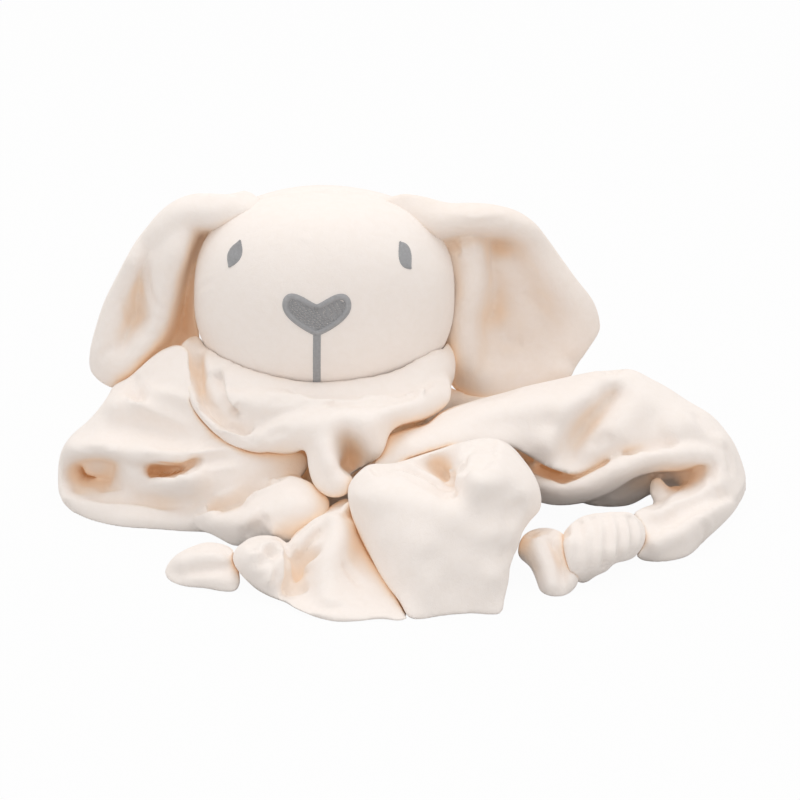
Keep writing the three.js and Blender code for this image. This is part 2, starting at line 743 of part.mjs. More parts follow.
const head = movingBody(still, neckHinge, left, headNod, coarseSteps);
const leftEar = movingBody(head, leftEarSeat, back, earLift, coarseSteps);
const rightEar = movingBody(head, rightEarSeat, front, earLift, coarseSteps);
const flap = movingBody(still, onDrape(flapHingeShares), left, flapLift, fineSteps);
const leftTail = movingBody(still, onDrape(leftTailHingeShares), up, leftTailSwing, coarseSteps);
const rightTail = movingBody(still, onDrape(rightTailHingeShares), up, rightTailSwing, coarseSteps);

// Assembly

const floor = boxSolid(far, far, far, new THREE.Vector3(0, 0, -far / 2));
const claims = [];

// Hangs a finished solid in its body's group.
function addMesh(name, body, finish, solid) {
  const geometry = geometryOf(solid);
  if (body.hinge) geometry.translate(...body.hinge.pivot.clone().negate().toArray());
  const mesh = new THREE.Mesh(geometry, new THREE.MeshStandardMaterial(finish));
  mesh.name = name;
  body.group.add(mesh);
}

// Takes everything that is claimed from a solid.
function giveWay(solid, taken) {
  const box = solid.boundingBox();
  return taken.reduce((left, other) => {
    const its = other.boundingBox();
    const apart = [0, 1, 2].some((axis) => its.min[axis] > box.max[axis] || its.max[axis] < box.min[axis]);
    return apart ? left : left.subtract(other);
  }, solid);
}

// Adds a soft piece. It gives way, with the clearance, to every piece that came before it, wherever that
// piece's body takes it, keeps its largest body and is cut flat where it meets the floor. Pieces of one
// body never move against each other, so they give way only where they rest.
function addSoft(name, body, finish, shape, also = []) {
  const taken = claims.flatMap((claim) => (claim.body === body ? claim.solids.slice(0, 1) : claim.solids));
  const solid = giveWay(solidOf(shape(0)), [...taken, ...also, floor]);
  claims.push({ body, solids: swept(shape(clearance), body) });
  addMesh(name, body, finish, largest(largest(solid).simplify(cutTolerance)));
}

function addHead() {
  addMesh('head_face_panel', head, velour, largest(headPanel(true)));
  addMesh('head_back_panel', head, velour, largest(headPanel(false)));
  addMesh('head_filling', head, wadding, headSolid(-panelThickness - clearance));
  addMesh('nose_border_stitching', head, greyThread, stitched(noseOutline(0), noseOutline(noseBorder)));
  addMesh('nose_fill_stitching', head, greyThread, stitched(noseOutline(noseBorder + clearance)));
  addMesh('left_eye_stitching', head, greyThread, stitched(eyeOutline(-1)));
  addMesh('right_eye_stitching', head, greyThread, stitched(eyeOutline(1)));
  addMesh('mouth_stitching', head, greyThread, stitched(mouthOutline()));
  claims.push({ body: head, solids: swept(headGeometry(clearance), head) });
}

// The left ear hangs with its top side up and out, and the right ear with its hollow side to the front.
function addEars() {
  const leftForm = { origin: leftEarSeat, face: up, bendRadius: leftEarBend };
  const rightForm = { origin: rightEarSeat, face: back, bendRadius: rightEarBend };
  const leftHead = seenFrom(headGeometry, leftEar);
  const rightHead = seenFrom(headGeometry, rightEar);
  addSoft('left_ear_outer', leftEar, velour, earPly(leftEarShares, true, leftForm), leftHead);
  addSoft('left_ear_lining', leftEar, earLining, earPly(leftEarShares, false, leftForm), leftHead);
  addSoft('right_ear_outer', rightEar, velour, earPly(rightEarShares, true, rightForm), rightHead);
  addSoft('right_ear_lining', rightEar, earLining, earPly(rightEarShares, false, rightForm), rightHead);
}

// The ends of a fold are rounded over one of these shares of the reach.
const tightEndShare = 0.05;
const plainEndShare = 0.08;
const looseEndShare = 0.12;

const flapFaceShares = [0, -0.5, 0.87];
const flapFace = new THREE.Vector3(...flapFaceShares);
const flapShape = sheet(flapShares, { face: flapFace, bendRadius: flapBend, endShare: tightEndShare });
const hoodShape = roll(flapHoodShares, { startShare: tightEndShare, endShare: plainEndShare });
function addFlap() {
  addSoft('front_flap', flap, velour, flapShape);
  addSoft('front_flap_hood', flap, velour, hoodShape);
}

// The two knotted corners, each with the end of the cloth that sticks out of its knot.
function addKnots() {
  const ends = { startShare: plainEndShare, endShare: plainEndShare };
  const hookEnds = { startShare: tightEndShare, endShare: tightEndShare };
  const leftKnot = roll(leftKnotShares, ends);
  const rightKnot = roll(rightKnotShares(), { rings: knotSteps, crowdingShare: 0 });
  const leftTailShape = sheet(leftTailShares, ends);
  const rightTailShape = roll(rightTailShares, { face: across, rings: 10, ...hookEnds });
  addSoft('left_knot', still, velour, leftKnot);
  addSoft('right_knot', still, velour, rightKnot);
  addSoft('left_knot_tail', leftTail, velour, leftTailShape, seenFrom(leftKnot, leftTail));
  const besideRightTail = [rightKnot, flapShape, hoodShape].flatMap((shape) => seenFrom(shape, rightTail));
  addSoft('right_knot_tail', rightTail, velour, rightTailShape, besideRightTail);
}

function addFrontFolds() {
  const tightEnds = { startShare: tightEndShare, endShare: tightEndShare };
  addSoft('front_fan', still, velour, sheet(frontFanShares, { startShare: looseEndShare }));
  addSoft('front_swag', still, velour, roll(frontSwagShares, { rings: 12, ...tightEnds }));
  addSoft('collar_lower_roll', still, velour, roll(collarLowerShares, { startShare: tightEndShare }));
  addSoft('collar_upper_roll', still, velour, roll(collarUpperShares, tightEnds));
}

function addRightFolds() {
  const plainEnds = { startShare: plainEndShare, endShare: plainEndShare };
  addSoft('right_panel', still, velour, sheet(rightPanelShares, { rings: 10, endShare: plainEndShare }));
  addSoft('right_corner_fold', still, velour, roll(rightCornerShares, { startShare: plainEndShare }));
  addSoft('right_hem_roll', still, velour, roll(rightHemShares, { startShare: tightEndShare }));
  addSoft('right_floor_fold', still, velour, roll(rightFloorShares, plainEnds));
}

function addLeftFolds() {
  addSoft('left_front_bulge', still, velour, roll(leftBulgeShares, { startShare: plainEndShare }));
  addSoft('left_inner_fold', still, velour, sheet(leftInnerShares, { rings: 7, startShare: tightEndShare }));
  addSoft('left_panel', still, velour, sheet(leftPanelShares, { rings: 12, crowdingShare: 0 }));
}

function addMiddle() {
  addSoft('neck_gather', still, velour, neckGeometry);
  addSoft('neck_tie_thread', still, creamThread, tieGeometry);
  addSoft('blanket_centre', still, velour, moundGeometry);
}

function addBackFolds() {
  const form = { rings: 5, endShare: plainEndShare };
  addSoft('back_centre_fold', still, velour, sheet(backCentreShares, form));
  addSoft('back_left_fold', still, velour, sheet(backLeftShares, form));
  addSoft('back_right_fold', still, velour, sheet(backRightShares, form));
}

addHead();
addEars();
addFlap();
addKnots();
addFrontFolds();
addRightFolds();
addLeftFolds();
addMiddle();
addBackFolds();

export default root;
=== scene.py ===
"""A comfort blanket: a stuffed rabbit head with two floppy ears, sewn to a crumpled velour square.

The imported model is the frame. Every piece here is made anew, in metres, where its solid lies.
"""

import json
import logging
import math
from dataclasses import dataclass, field
from enum import Enum
from functools import cache
from typing import Callable, Iterable, Sequence

import bmesh
import bpy
import numpy as np
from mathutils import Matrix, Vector
from mathutils.bvhtree import BVHTree

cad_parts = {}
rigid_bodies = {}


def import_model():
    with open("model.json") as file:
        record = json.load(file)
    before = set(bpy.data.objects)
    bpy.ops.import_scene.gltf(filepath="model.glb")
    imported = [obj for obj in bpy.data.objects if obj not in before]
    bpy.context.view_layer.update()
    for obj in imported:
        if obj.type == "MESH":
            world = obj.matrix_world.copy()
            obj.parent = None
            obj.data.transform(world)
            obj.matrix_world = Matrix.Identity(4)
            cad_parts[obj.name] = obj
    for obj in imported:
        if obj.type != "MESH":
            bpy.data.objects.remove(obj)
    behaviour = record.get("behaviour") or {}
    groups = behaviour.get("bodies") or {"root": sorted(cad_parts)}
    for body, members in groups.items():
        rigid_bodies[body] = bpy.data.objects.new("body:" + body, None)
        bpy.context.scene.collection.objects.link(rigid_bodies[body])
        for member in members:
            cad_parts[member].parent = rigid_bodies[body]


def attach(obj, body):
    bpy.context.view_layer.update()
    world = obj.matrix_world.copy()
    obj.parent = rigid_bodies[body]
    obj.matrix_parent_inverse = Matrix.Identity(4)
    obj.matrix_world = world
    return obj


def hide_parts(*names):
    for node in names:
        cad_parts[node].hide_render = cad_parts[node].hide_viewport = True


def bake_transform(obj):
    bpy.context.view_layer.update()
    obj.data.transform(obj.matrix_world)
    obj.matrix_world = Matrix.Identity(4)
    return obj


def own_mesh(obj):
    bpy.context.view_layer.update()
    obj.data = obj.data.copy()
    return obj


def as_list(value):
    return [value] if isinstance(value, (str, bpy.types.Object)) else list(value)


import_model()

LOG = logging.getLogger("comfort_blanket")
MM = 0.001
HALF_TURN = math.pi
COLOUR, VALUE = "NodeSocketColor", "NodeSocketFloat"

Colour = tuple[float, ...]
Pixel = tuple[float, float]
Point = tuple[float, float, float]
Row = tuple[float, ...]
Face = tuple[int, ...]
Skin = tuple[np.ndarray, list[Face]]
Shape = Callable[[float], Skin]
Inputs = dict[str | int, object]


def placed(name: str, data: bpy.types.ID) -> bpy.types.Object:
    """Puts a new object for the data into the scene and gives it.

    Args:
        name: The new object's name.
        data: Its mesh, camera or light.

    Returns:
        The object.
    """
    made = bpy.data.objects.new(name, data)
    bpy.context.scene.collection.objects.link(made)
    return made


class Nodes:
    """Short ways to build a tree of nodes."""

    def __init__(self, tree: bpy.types.NodeTree, clear: bool = False) -> None:
        """Takes the tree, and empties it if asked.

        Args:
            tree: The tree.
            clear: Whether it is emptied first.
        """
        self.tree = tree
        if clear:
            tree.nodes.clear()

    @classmethod
    def group(cls, name: str, kind: str, takes: dict[str, str], gives: dict[str, str]) -> "Nodes":
        """Starts a node group.

        Args:
            name: The group's name.
            kind: The kind of tree.
            takes: Its inputs' kinds by name.
            gives: Its outputs' kinds by name.

        Returns:
            The group, with its inputs in given and its outputs in result.
        """
        made = cls(bpy.data.node_groups.new(name, kind))
        for way, sockets in (("INPUT", takes), ("OUTPUT", gives)):
            for socket, socket_kind in sockets.items():
                made.tree.interface.new_socket(socket, in_out=way, socket_type=socket_kind)
        made.given = made.tree.nodes.new("NodeGroupInput").outputs
        made.result = made.tree.nodes.new("NodeGroupOutput").inputs
        return made

    def join(self, value: object, target: bpy.types.NodeSocket) -> None:
        """Links a socket to an input, or sets the input's value.

        Args:
            value: The socket, or a plain value.
            target: The input.
        """
        if isinstance(value, bpy.types.NodeSocket):
            self.tree.links.new(value, target)
        else:
            target.default_value = value

    def feed(self, node: bpy.types.Node, inputs: Inputs) -> None:
        """Joins sockets or plain values to a node's inputs."""
        for name, value in inputs.items():
            self.join(value, node.inputs[name])

    def node(self, kind: str, inputs: Inputs | None = None, **settings: object) -> bpy.types.Node:
        """Adds a node.

        Args:
            kind: The kind of node.
            inputs: Sockets or plain values for its inputs, by name or number.
            settings: Its own settings.

        Returns:
            The node.
        """
        made = self.tree.nodes.new(kind)
        for name, value in settings.items():
            setattr(made, name, value)
        self.feed(made, inputs or {})
        return made

    def math(self, operation: str, *values: object, clamp: bool = False) -> bpy.types.NodeSocket:
        """Adds a math node and gives its result."""
        made = self.node("ShaderNodeMath", dict(enumerate(values)), operation=operation, use_clamp=clamp)
        return made.outputs[0]

    def mix(self, share: object, first: object, second: object) -> bpy.types.NodeSocket:
        """Adds a mix of two colours and gives its result."""
        return self.node("ShaderNodeMix", {0: share, 6: first, 7: second}, data_type="RGBA").outputs[2]


# Camera, light and floor


@dataclass(frozen=True)
class PhotoCamera:
    """The photograph's camera, in millimetres and in the photograph's pixels."""

    place: Point = (32.39, -1190.46, 467.99)
    elevation: float = 20.0
    focal_pixels: float = 2913.75
    picture: int = 800
    sensor: float = 36.0

    def build(self) -> None:
        """Makes the scene's camera."""
        data = bpy.data.cameras.new("photo_camera")
        data.sensor_width = self.sensor
        data.lens = self.focal_pixels * self.sensor / self.picture
        data.clip_start, data.clip_end = 0.05, 20.0
        camera = placed("photo_camera", data)
        camera.location = Vector(self.place) * MM
        camera.rotation_euler = (math.radians(90.0 - self.elevation), 0.0, 0.0)
        bpy.context.scene.camera = camera

    def ray(self, x: float, y: float) -> tuple[Vector, Vector]:
        """The ray through a pixel.

        Args:
            x: Pixels from the picture's left edge.
            y: Pixels from its top edge.

        Returns:
            The ray's start, in millimetres, and its unit direction.
        """
        tilt = math.radians(self.elevation)
        forward = Vector((0.0, math.cos(tilt), -math.sin(tilt)))
        upward = Vector((0.0, math.sin(tilt), math.cos(tilt)))
        half = self.picture / 2
        way = forward * self.focal_pixels + Vector((1.0, 0.0, 0.0)) * (x - half) - upward * (y - half)
        return Vector(self.place), way.normalized()

    def spots(self, pixels: np.ndarray, back: np.ndarray) -> np.ndarray:
        """The points that show at pixels.

        Args:
            pixels: The pixels, one per row.
            back: The points' Ys, in millimetres.

        Returns:
            The points in millimetres.
        """
        tilt = math.radians(self.elevation)
        half = self.picture / 2
        x, y = pixels[:, 0] - half, pixels[:, 1] - half
        along = self.focal_pixels * math.cos(tilt) - y * math.sin(tilt)
        rise = -self.focal_pixels * math.sin(tilt) - y * math.cos(tilt)
        share = (back - self.place[1]) / along
        return np.array(self.place) + np.column_stack((x * share, along * share, rise * share))


CAMERA = PhotoCamera()


@dataclass(frozen=True)
class AreaLamp:
    """A soft square lamp that looks at the toy."""

    name: str
    place: Point
    size: float
    power: float

    def build(self, target: Vector) -> None:
        """Makes the lamp and turns it towards the target.

        Args:
            target: The place it looks at, in metres.
        """
        data = bpy.data.lights.new(self.name, "AREA")
        data.shape, data.size, data.energy = "SQUARE", self.size, self.power
        lamp = placed(self.name, data)
        lamp.location = self.place
        lamp.rotation_euler = (target - lamp.location).to_track_quat("-Z", "Y").to_euler()


@dataclass(frozen=True)
class Studio:
    """The plain pale room: a white background, a floor that keeps the shadow, and soft lamps."""

    world_level: float = 0.88
    world_tint: Colour = (1.0, 0.985, 0.97, 1.0)
    floor_level: float = 0.64
    floor_glow: float = 0.965
    floor_half: float = 6.0
    lamps: tuple[AreaLamp, ...] = (
        AreaLamp("top_softbox", (0.0, 0.12, 1.05), 0.9, 2.7),
        AreaLamp("front_fill", (-0.5, -1.2, 0.7), 0.8, 0.4),
    )

    def build(self) -> None:
        """Makes the world, the floor and the lamps."""
        self._world()
        self._floor()
        for lamp in self.lamps:
            lamp.build(Vector((0.0, -0.05, 0.05)))
        bpy.context.scene.view_settings.view_transform = "Standard"

    @staticmethod
    def _seen(nodes: Nodes) -> bpy.types.NodeSocket:
        """A value that is 1 for rays from the camera, and for those that mirror or pass through.

        Args:
            nodes: The tree it is built in.

        Returns:
            The value's socket.
        """
        path = nodes.node("ShaderNodeLightPath").outputs
        first = nodes.math("MAXIMUM", path["Is Camera Ray"], path["Is Glossy Ray"])
        return nodes.math("MAXIMUM", first, path["Is Transmission Ray"])

    def _world(self) -> None:
        """A plain even world that the camera sees as white."""
        world = bpy.data.worlds.new("studio_world")
        world.use_nodes = True
        nodes = Nodes(world.node_tree, clear=True)
        light = nodes.node("ShaderNodeBackground", {"Color": self.world_tint, "Strength": self.world_level})
        white = nodes.node("ShaderNodeBackground", {"Color": (1.0, 1.0, 1.0, 1.0), "Strength": 1.0})
        both = {0: self._seen(nodes), 1: light.outputs[0], 2: white.outputs[0]}
        mix = nodes.node("ShaderNodeMixShader", both)
        nodes.node("ShaderNodeOutputWorld", {"Surface": mix.outputs[0]})
        bpy.context.scene.world = world

    def _floor(self) -> None:
        """A wide pale floor. The camera sees most of it as plain white, and the rest keeps the shadow."""
        mesh = bpy.data.meshes.new("studio_floor")
        corners = ((-1, -1), (1, -1), (1, 1), (-1, 1))
        points = [(x * self.floor_half, y * self.floor_half, 0) for x, y in corners]
        mesh.from_pydata(points, [], [(0, 1, 2, 3)])
        material = bpy.data.materials.new("studio_white")
        material.use_nodes = True
        nodes = Nodes(material.node_tree, clear=True)
        plain = nodes.node("ShaderNodeBsdfDiffuse", {"Color": (*[self.floor_level] * 3, 1.0)})
        glow = nodes.node("ShaderNodeEmission", {"Strength": 1.0})
        share = nodes.math("MULTIPLY", self._seen(nodes), self.floor_glow)
        mix = nodes.node("ShaderNodeMixShader", {0: share, 1: plain.outputs[0], 2: glow.outputs[0]})
        nodes.node("ShaderNodeOutputMaterial", {"Surface": mix.outputs[0]})
        mesh.materials.append(material)
        placed("studio_floor", mesh)


# Finishes


class EffectGroups:
    """Shader effects that several finishes share, each a node group made once."""

    @staticmethod
    @cache
    def pile() -> bpy.types.NodeTree:
        """Short velour pile: clumps that lean and catch the light, a fine grain, and painted shade and glow
        in deep folds.

        Returns:
            A group that takes colours, sizes and a place's depth, and gives a colour with painted shade, a
            height and a painted glow.
        """
        takes = {"Base": COLOUR, "Shade": COLOUR, "Clump Scale": VALUE, "Grain Scale": VALUE}
        takes |= {"Depth": VALUE, "Warm": COLOUR, "Ember": COLOUR}
        gives = {"Colour": COLOUR, "Height": VALUE, "Glow": COLOUR}
        nodes = Nodes.group("velour_pile", "ShaderNodeTree", takes, gives)
        given, place = nodes.given, nodes.node("ShaderNodeTexCoord").outputs["Object"]
        clump = nodes.node("ShaderNodeTexNoise", {
            "Vector": place, "Scale": given["Clump Scale"], "Detail": 3.0, "Roughness": 0.6,
            "Distortion": 0.6})
        noise = nodes.node("ShaderNodeTexNoise", {
            "Vector": place, "Scale": given["Grain Scale"], "Detail": 2.0, "Roughness": 0.7})
        grain = noise.outputs["Fac"]
        limits = {"Value": clump.outputs["Fac"], "From Min": 0.38, "From Max": 0.66}
        lean = nodes.node("ShaderNodeMapRange", limits).outputs["Result"]
        share = nodes.math("MULTIPLY", nodes.math("MULTIPLY_ADD", grain, 0.55, lean), 0.5, clamp=True)
        nap = nodes.mix(share, given["Base"], given["Shade"])
        # Painted shade and glow: where the fold mask is high, the colour turns to a painted orange shade and
        # the surface gives off a painted glow.
        for low, cold, painted_tint, target in (
                (0.3, nap, "Warm", "Colour"), (0.5, (0.0, 0.0, 0.0, 1.0), "Ember", "Glow")):
            limits = {"Value": given["Depth"], "From Min": low, "From Max": 1.0}
            depth = nodes.node("ShaderNodeMapRange", limits, interpolation_type="SMOOTHSTEP")
            nodes.join(nodes.mix(depth.outputs["Result"], cold, given[painted_tint]), nodes.result[target])
        nodes.join(nodes.math("MULTIPLY_ADD", lean, 0.5, grain), nodes.result["Height"])
        return nodes.tree

    @staticmethod
    @cache
    def twist() -> bpy.types.NodeTree:
        """The sheen of twisted thread: fine light and dark along it.

        Returns:
            A group that takes a base colour, a shade colour and a scale, and gives a colour and a height.
        """
        takes = {"Base": COLOUR, "Shade": COLOUR, "Scale": VALUE}
        nodes = Nodes.group("thread_twist", "ShaderNodeTree", takes, {"Colour": COLOUR, "Height": VALUE})
        given, place = nodes.given, nodes.node("ShaderNodeTexCoord").outputs["Object"]
        noise = nodes.node("ShaderNodeTexNoise", {"Vector": place, "Scale": given["Scale"], "Detail": 2.0})
        nodes.join(nodes.mix(noise.outputs["Fac"], given["Base"], given["Shade"]), nodes.result["Colour"])
        nodes.join(noise.outputs["Fac"], nodes.result["Height"])
        return nodes.tree


# Name of the mask of how shut in by cloth each place is; the velour paints orange shade and a glow where it
# is high.
FOLD_SHADE_MASK = "fold_shade_mask"


def finished(name: str, group: bpy.types.NodeTree, values: dict[str, object], shader: dict[str, object],
             bump: dict[str, float]) -> tuple[bpy.types.Material, Nodes, bpy.types.Node]:
    """Makes a material whose colour and bump come from an effect group.

    Args:
        name: The material's name.
        group: The effect.
        values: The effect's inputs.
        shader: The shader's inputs.
        bump: The bump's inputs.

    Returns:
        The material, its nodes and its effect's node.
    """
    material = bpy.data.materials.new(name)
    material.use_nodes = True
    nodes = Nodes(material.node_tree)
    effect = nodes.node("ShaderNodeGroup", node_tree=group)
    nodes.feed(effect, values)
    rough = nodes.node("ShaderNodeBump", {**bump, "Height": effect.outputs["Height"]})
    principled = nodes.tree.nodes["Principled BSDF"]
    nodes.feed(principled, shader)
    nodes.feed(principled, {"Base Color": effect.outputs["Colour"], "Normal": rough.outputs["Normal"]})
    return material, nodes, effect


@dataclass(frozen=True)
class VelourFinish:
    """Short-pile velour: matt, with a soft bloom at its edges, painted orange shade in deep folds and a
    painted glow there for light through the cloth.
    """

    name: str
    base: Point
    shade: Point
    clump_scale: float = 260.0
    grain_scale: float = 2600.0
    # Painted shade: the orange tint that deep folds are mixed to, and the colour and strength of the painted
    # glow there.
    painted_tint: Point = (0.95, 0.80, 0.655)
    painted_glow_colour: Point = (1.0, 0.52, 0.24)
    glow: float = 0.07

    def build(self) -> bpy.types.Material:
        """Makes the material.

        Returns:
            The material.
        """
        values = {"Clump Scale": self.clump_scale, "Grain Scale": self.grain_scale}
        colours = {"Base": self.base, "Shade": self.shade, "Warm": self.painted_tint, "Ember": self.painted_glow_colour}
        values |= {name: (*colour, 1.0) for name, colour in colours.items()}
        shader = {
            "Roughness": 0.95, "Specular IOR Level": 0.15, "Sheen Weight": 0.25, "Sheen Roughness": 0.45,
            "Sheen Tint": (1.0, 0.96, 0.92, 1.0), "Emission Strength": self.glow}
        material, nodes, pile = finished(
            self.name, EffectGroups.pile(), values, shader, {"Strength": 0.6, "Distance": 0.0002})
        # The fold mask drives the painted shade and the painted glow.
        depth = nodes.node("ShaderNodeAttribute", attribute_name=FOLD_SHADE_MASK)
        nodes.join(depth.outputs["Fac"], pile.inputs["Depth"])
        nodes.join(pile.outputs["Glow"], nodes.tree.nodes["Principled BSDF"].inputs["Emission Color"])
        return material


@dataclass(frozen=True)
class ThreadFinish:
    """Sewing or embroidery thread: a little shine along each strand."""

    name: str
    base: Point
    shade: Point
    scale: float = 900.0

    def build(self) -> bpy.types.Material:
        """Makes the material.

        Returns:
            The material.
        """
        values = {"Base": (*self.base, 1.0), "Shade": (*self.shade, 1.0), "Scale": self.scale}
        shader = {"Roughness": 0.5, "Specular IOR Level": 0.4}
        return finished(
            self.name, EffectGroups.twist(), values, shader, {"Strength": 0.4, "Distance": 0.00005})[0]


class Finish(Enum):
    """The toy's finishes, by the record's material slots."""

    VELOUR = "velour"
    EAR_LINING = "ear_lining"
    GREY_THREAD = "grey_thread"
    CREAM_THREAD = "cream_thread"

    @cache
    def material(self) -> bpy.types.Material:
        """The finish's material, made once."""
        return MAKERS[self].build()

    def dress(self, piece: bpy.types.Object) -> None:
        """Gives a piece this finish.

        Args:
            piece: The piece.
        """
        piece.data.materials.clear()
        piece.data.materials.append(self.material())


MAKERS: dict[Finish, VelourFinish | ThreadFinish] = {
    Finish.VELOUR: VelourFinish("cream_velour", (0.96, 0.895, 0.852), (0.94, 0.866, 0.81)),
    Finish.EAR_LINING: VelourFinish("cream_velour_lining", (0.955, 0.875, 0.82), (0.925, 0.835, 0.765)),
    Finish.GREY_THREAD: ThreadFinish("grey_embroidery_thread", (0.46, 0.462, 0.475), (0.33, 0.33, 0.34)),
    Finish.CREAM_THREAD: ThreadFinish("cream_sewing_thread", (0.85, 0.74, 0.63), (0.9, 0.8, 0.7)),
}


# Meshes


def solid_object(name: str, points: np.ndarray, faces: Iterable[Face]) -> bpy.types.Object:
    """A closed mesh object whose faces point out.

    Args:
        name: The object's name.
        points: Points in millimetres.
        faces: Faces by point.

    Returns:
        The object, in metres.
    """
    mesh = bpy.data.meshes.new(name)
    mesh.from_pydata((points * MM).tolist(), [], list(faces))
    shape = bmesh.new()
    shape.from_mesh(mesh)
    if shape.calc_volume(signed=True) < 0:
        bmesh.ops.reverse_faces(shape, faces=shape.faces)
    shape.to_mesh(mesh)
    shape.free()
    return placed(name, mesh)


def cut(base: bpy.types.Object, operation: str, helper: bpy.types.Object) -> None:
    """Adds a Boolean to the base: INTERSECT, UNION or DIFFERENCE with a helper."""
    modifier = base.modifiers.new(operation.lower(), "BOOLEAN")
    modifier.operation, modifier.solver, modifier.object = operation, "MANIFOLD", helper


def remesh(base: bpy.types.Object, voxel: float) -> None:
    """Evens the base out on a grid of a size in millimetres."""
    modifier = base.modifiers.new("even", "REMESH")
    modifier.mode, modifier.voxel_size = "VOXEL", voxel * MM


def evaluated(piece: bpy.types.Object) -> bpy.types.Mesh:
    """The piece's mesh with its modifiers applied, as a new plain mesh."""
    graph = bpy.context.evaluated_depsgraph_get()
    return bpy.data.meshes.new_from_object(piece.evaluated_get(graph))


def discard(*pieces: bpy.types.Object) -> None:
    """Removes helper objects and their meshes."""
    for piece in pieces:
        mesh = piece.data
        bpy.data.objects.remove(piece)
        if mesh.users == 0:
            bpy.data.meshes.remove(mesh)


def report(piece: bpy.types.Object) -> None:
    """Logs a piece's faces, and half of its surface, which is about what was cut for it."""
    area = sum(face.area for face in piece.data.polygons) / 2
    LOG.info("%s: %d faces, %.4f m2", piece.name, len(piece.data.polygons), area)


# Folds


def catmull(points: np.ndarray, share: float) -> np.ndarray:
    """A point of a centripetal Catmull-Rom curve.

    Args:
        points: The curve's own points, one per row.
        share: How far along the curve, from 0 to 1.

    Returns:
        The point.
    """
    last = len(points) - 1
    at = min(max(share, 0.0), 1.0) * last
    index = min(int(at), last - 1)
    weight = at - index
    before = points[index - 1] if index > 0 else 2 * points[0] - points[1]
    start, end = points[index], points[index + 1]
    after = points[index + 2] if index + 2 <= last else 2 * points[last] - points[last - 1]
    middle = float(np.dot(end - start, end - start)) ** 0.25
    middle = middle if middle > 1e-4 else 1.0
    first = float(np.dot(start - before, start - before)) ** 0.25
    first = first if first > 1e-4 else middle
    third = float(np.dot(after - end, after - end)) ** 0.25
    third = third if third > 1e-4 else middle
    leave = ((start - before) / first - (end - before) / (first + middle) + (end - start) / middle) * middle
    reach = ((end - start) / middle - (after - start) / (middle + third) + (after - end) / third) * middle
    bend = -3 * start + 3 * end - 2 * leave - reach
    twist = 2 * start - 2 * end + leave + reach
    return start + leave * weight + bend * weight**2 + twist * weight**3


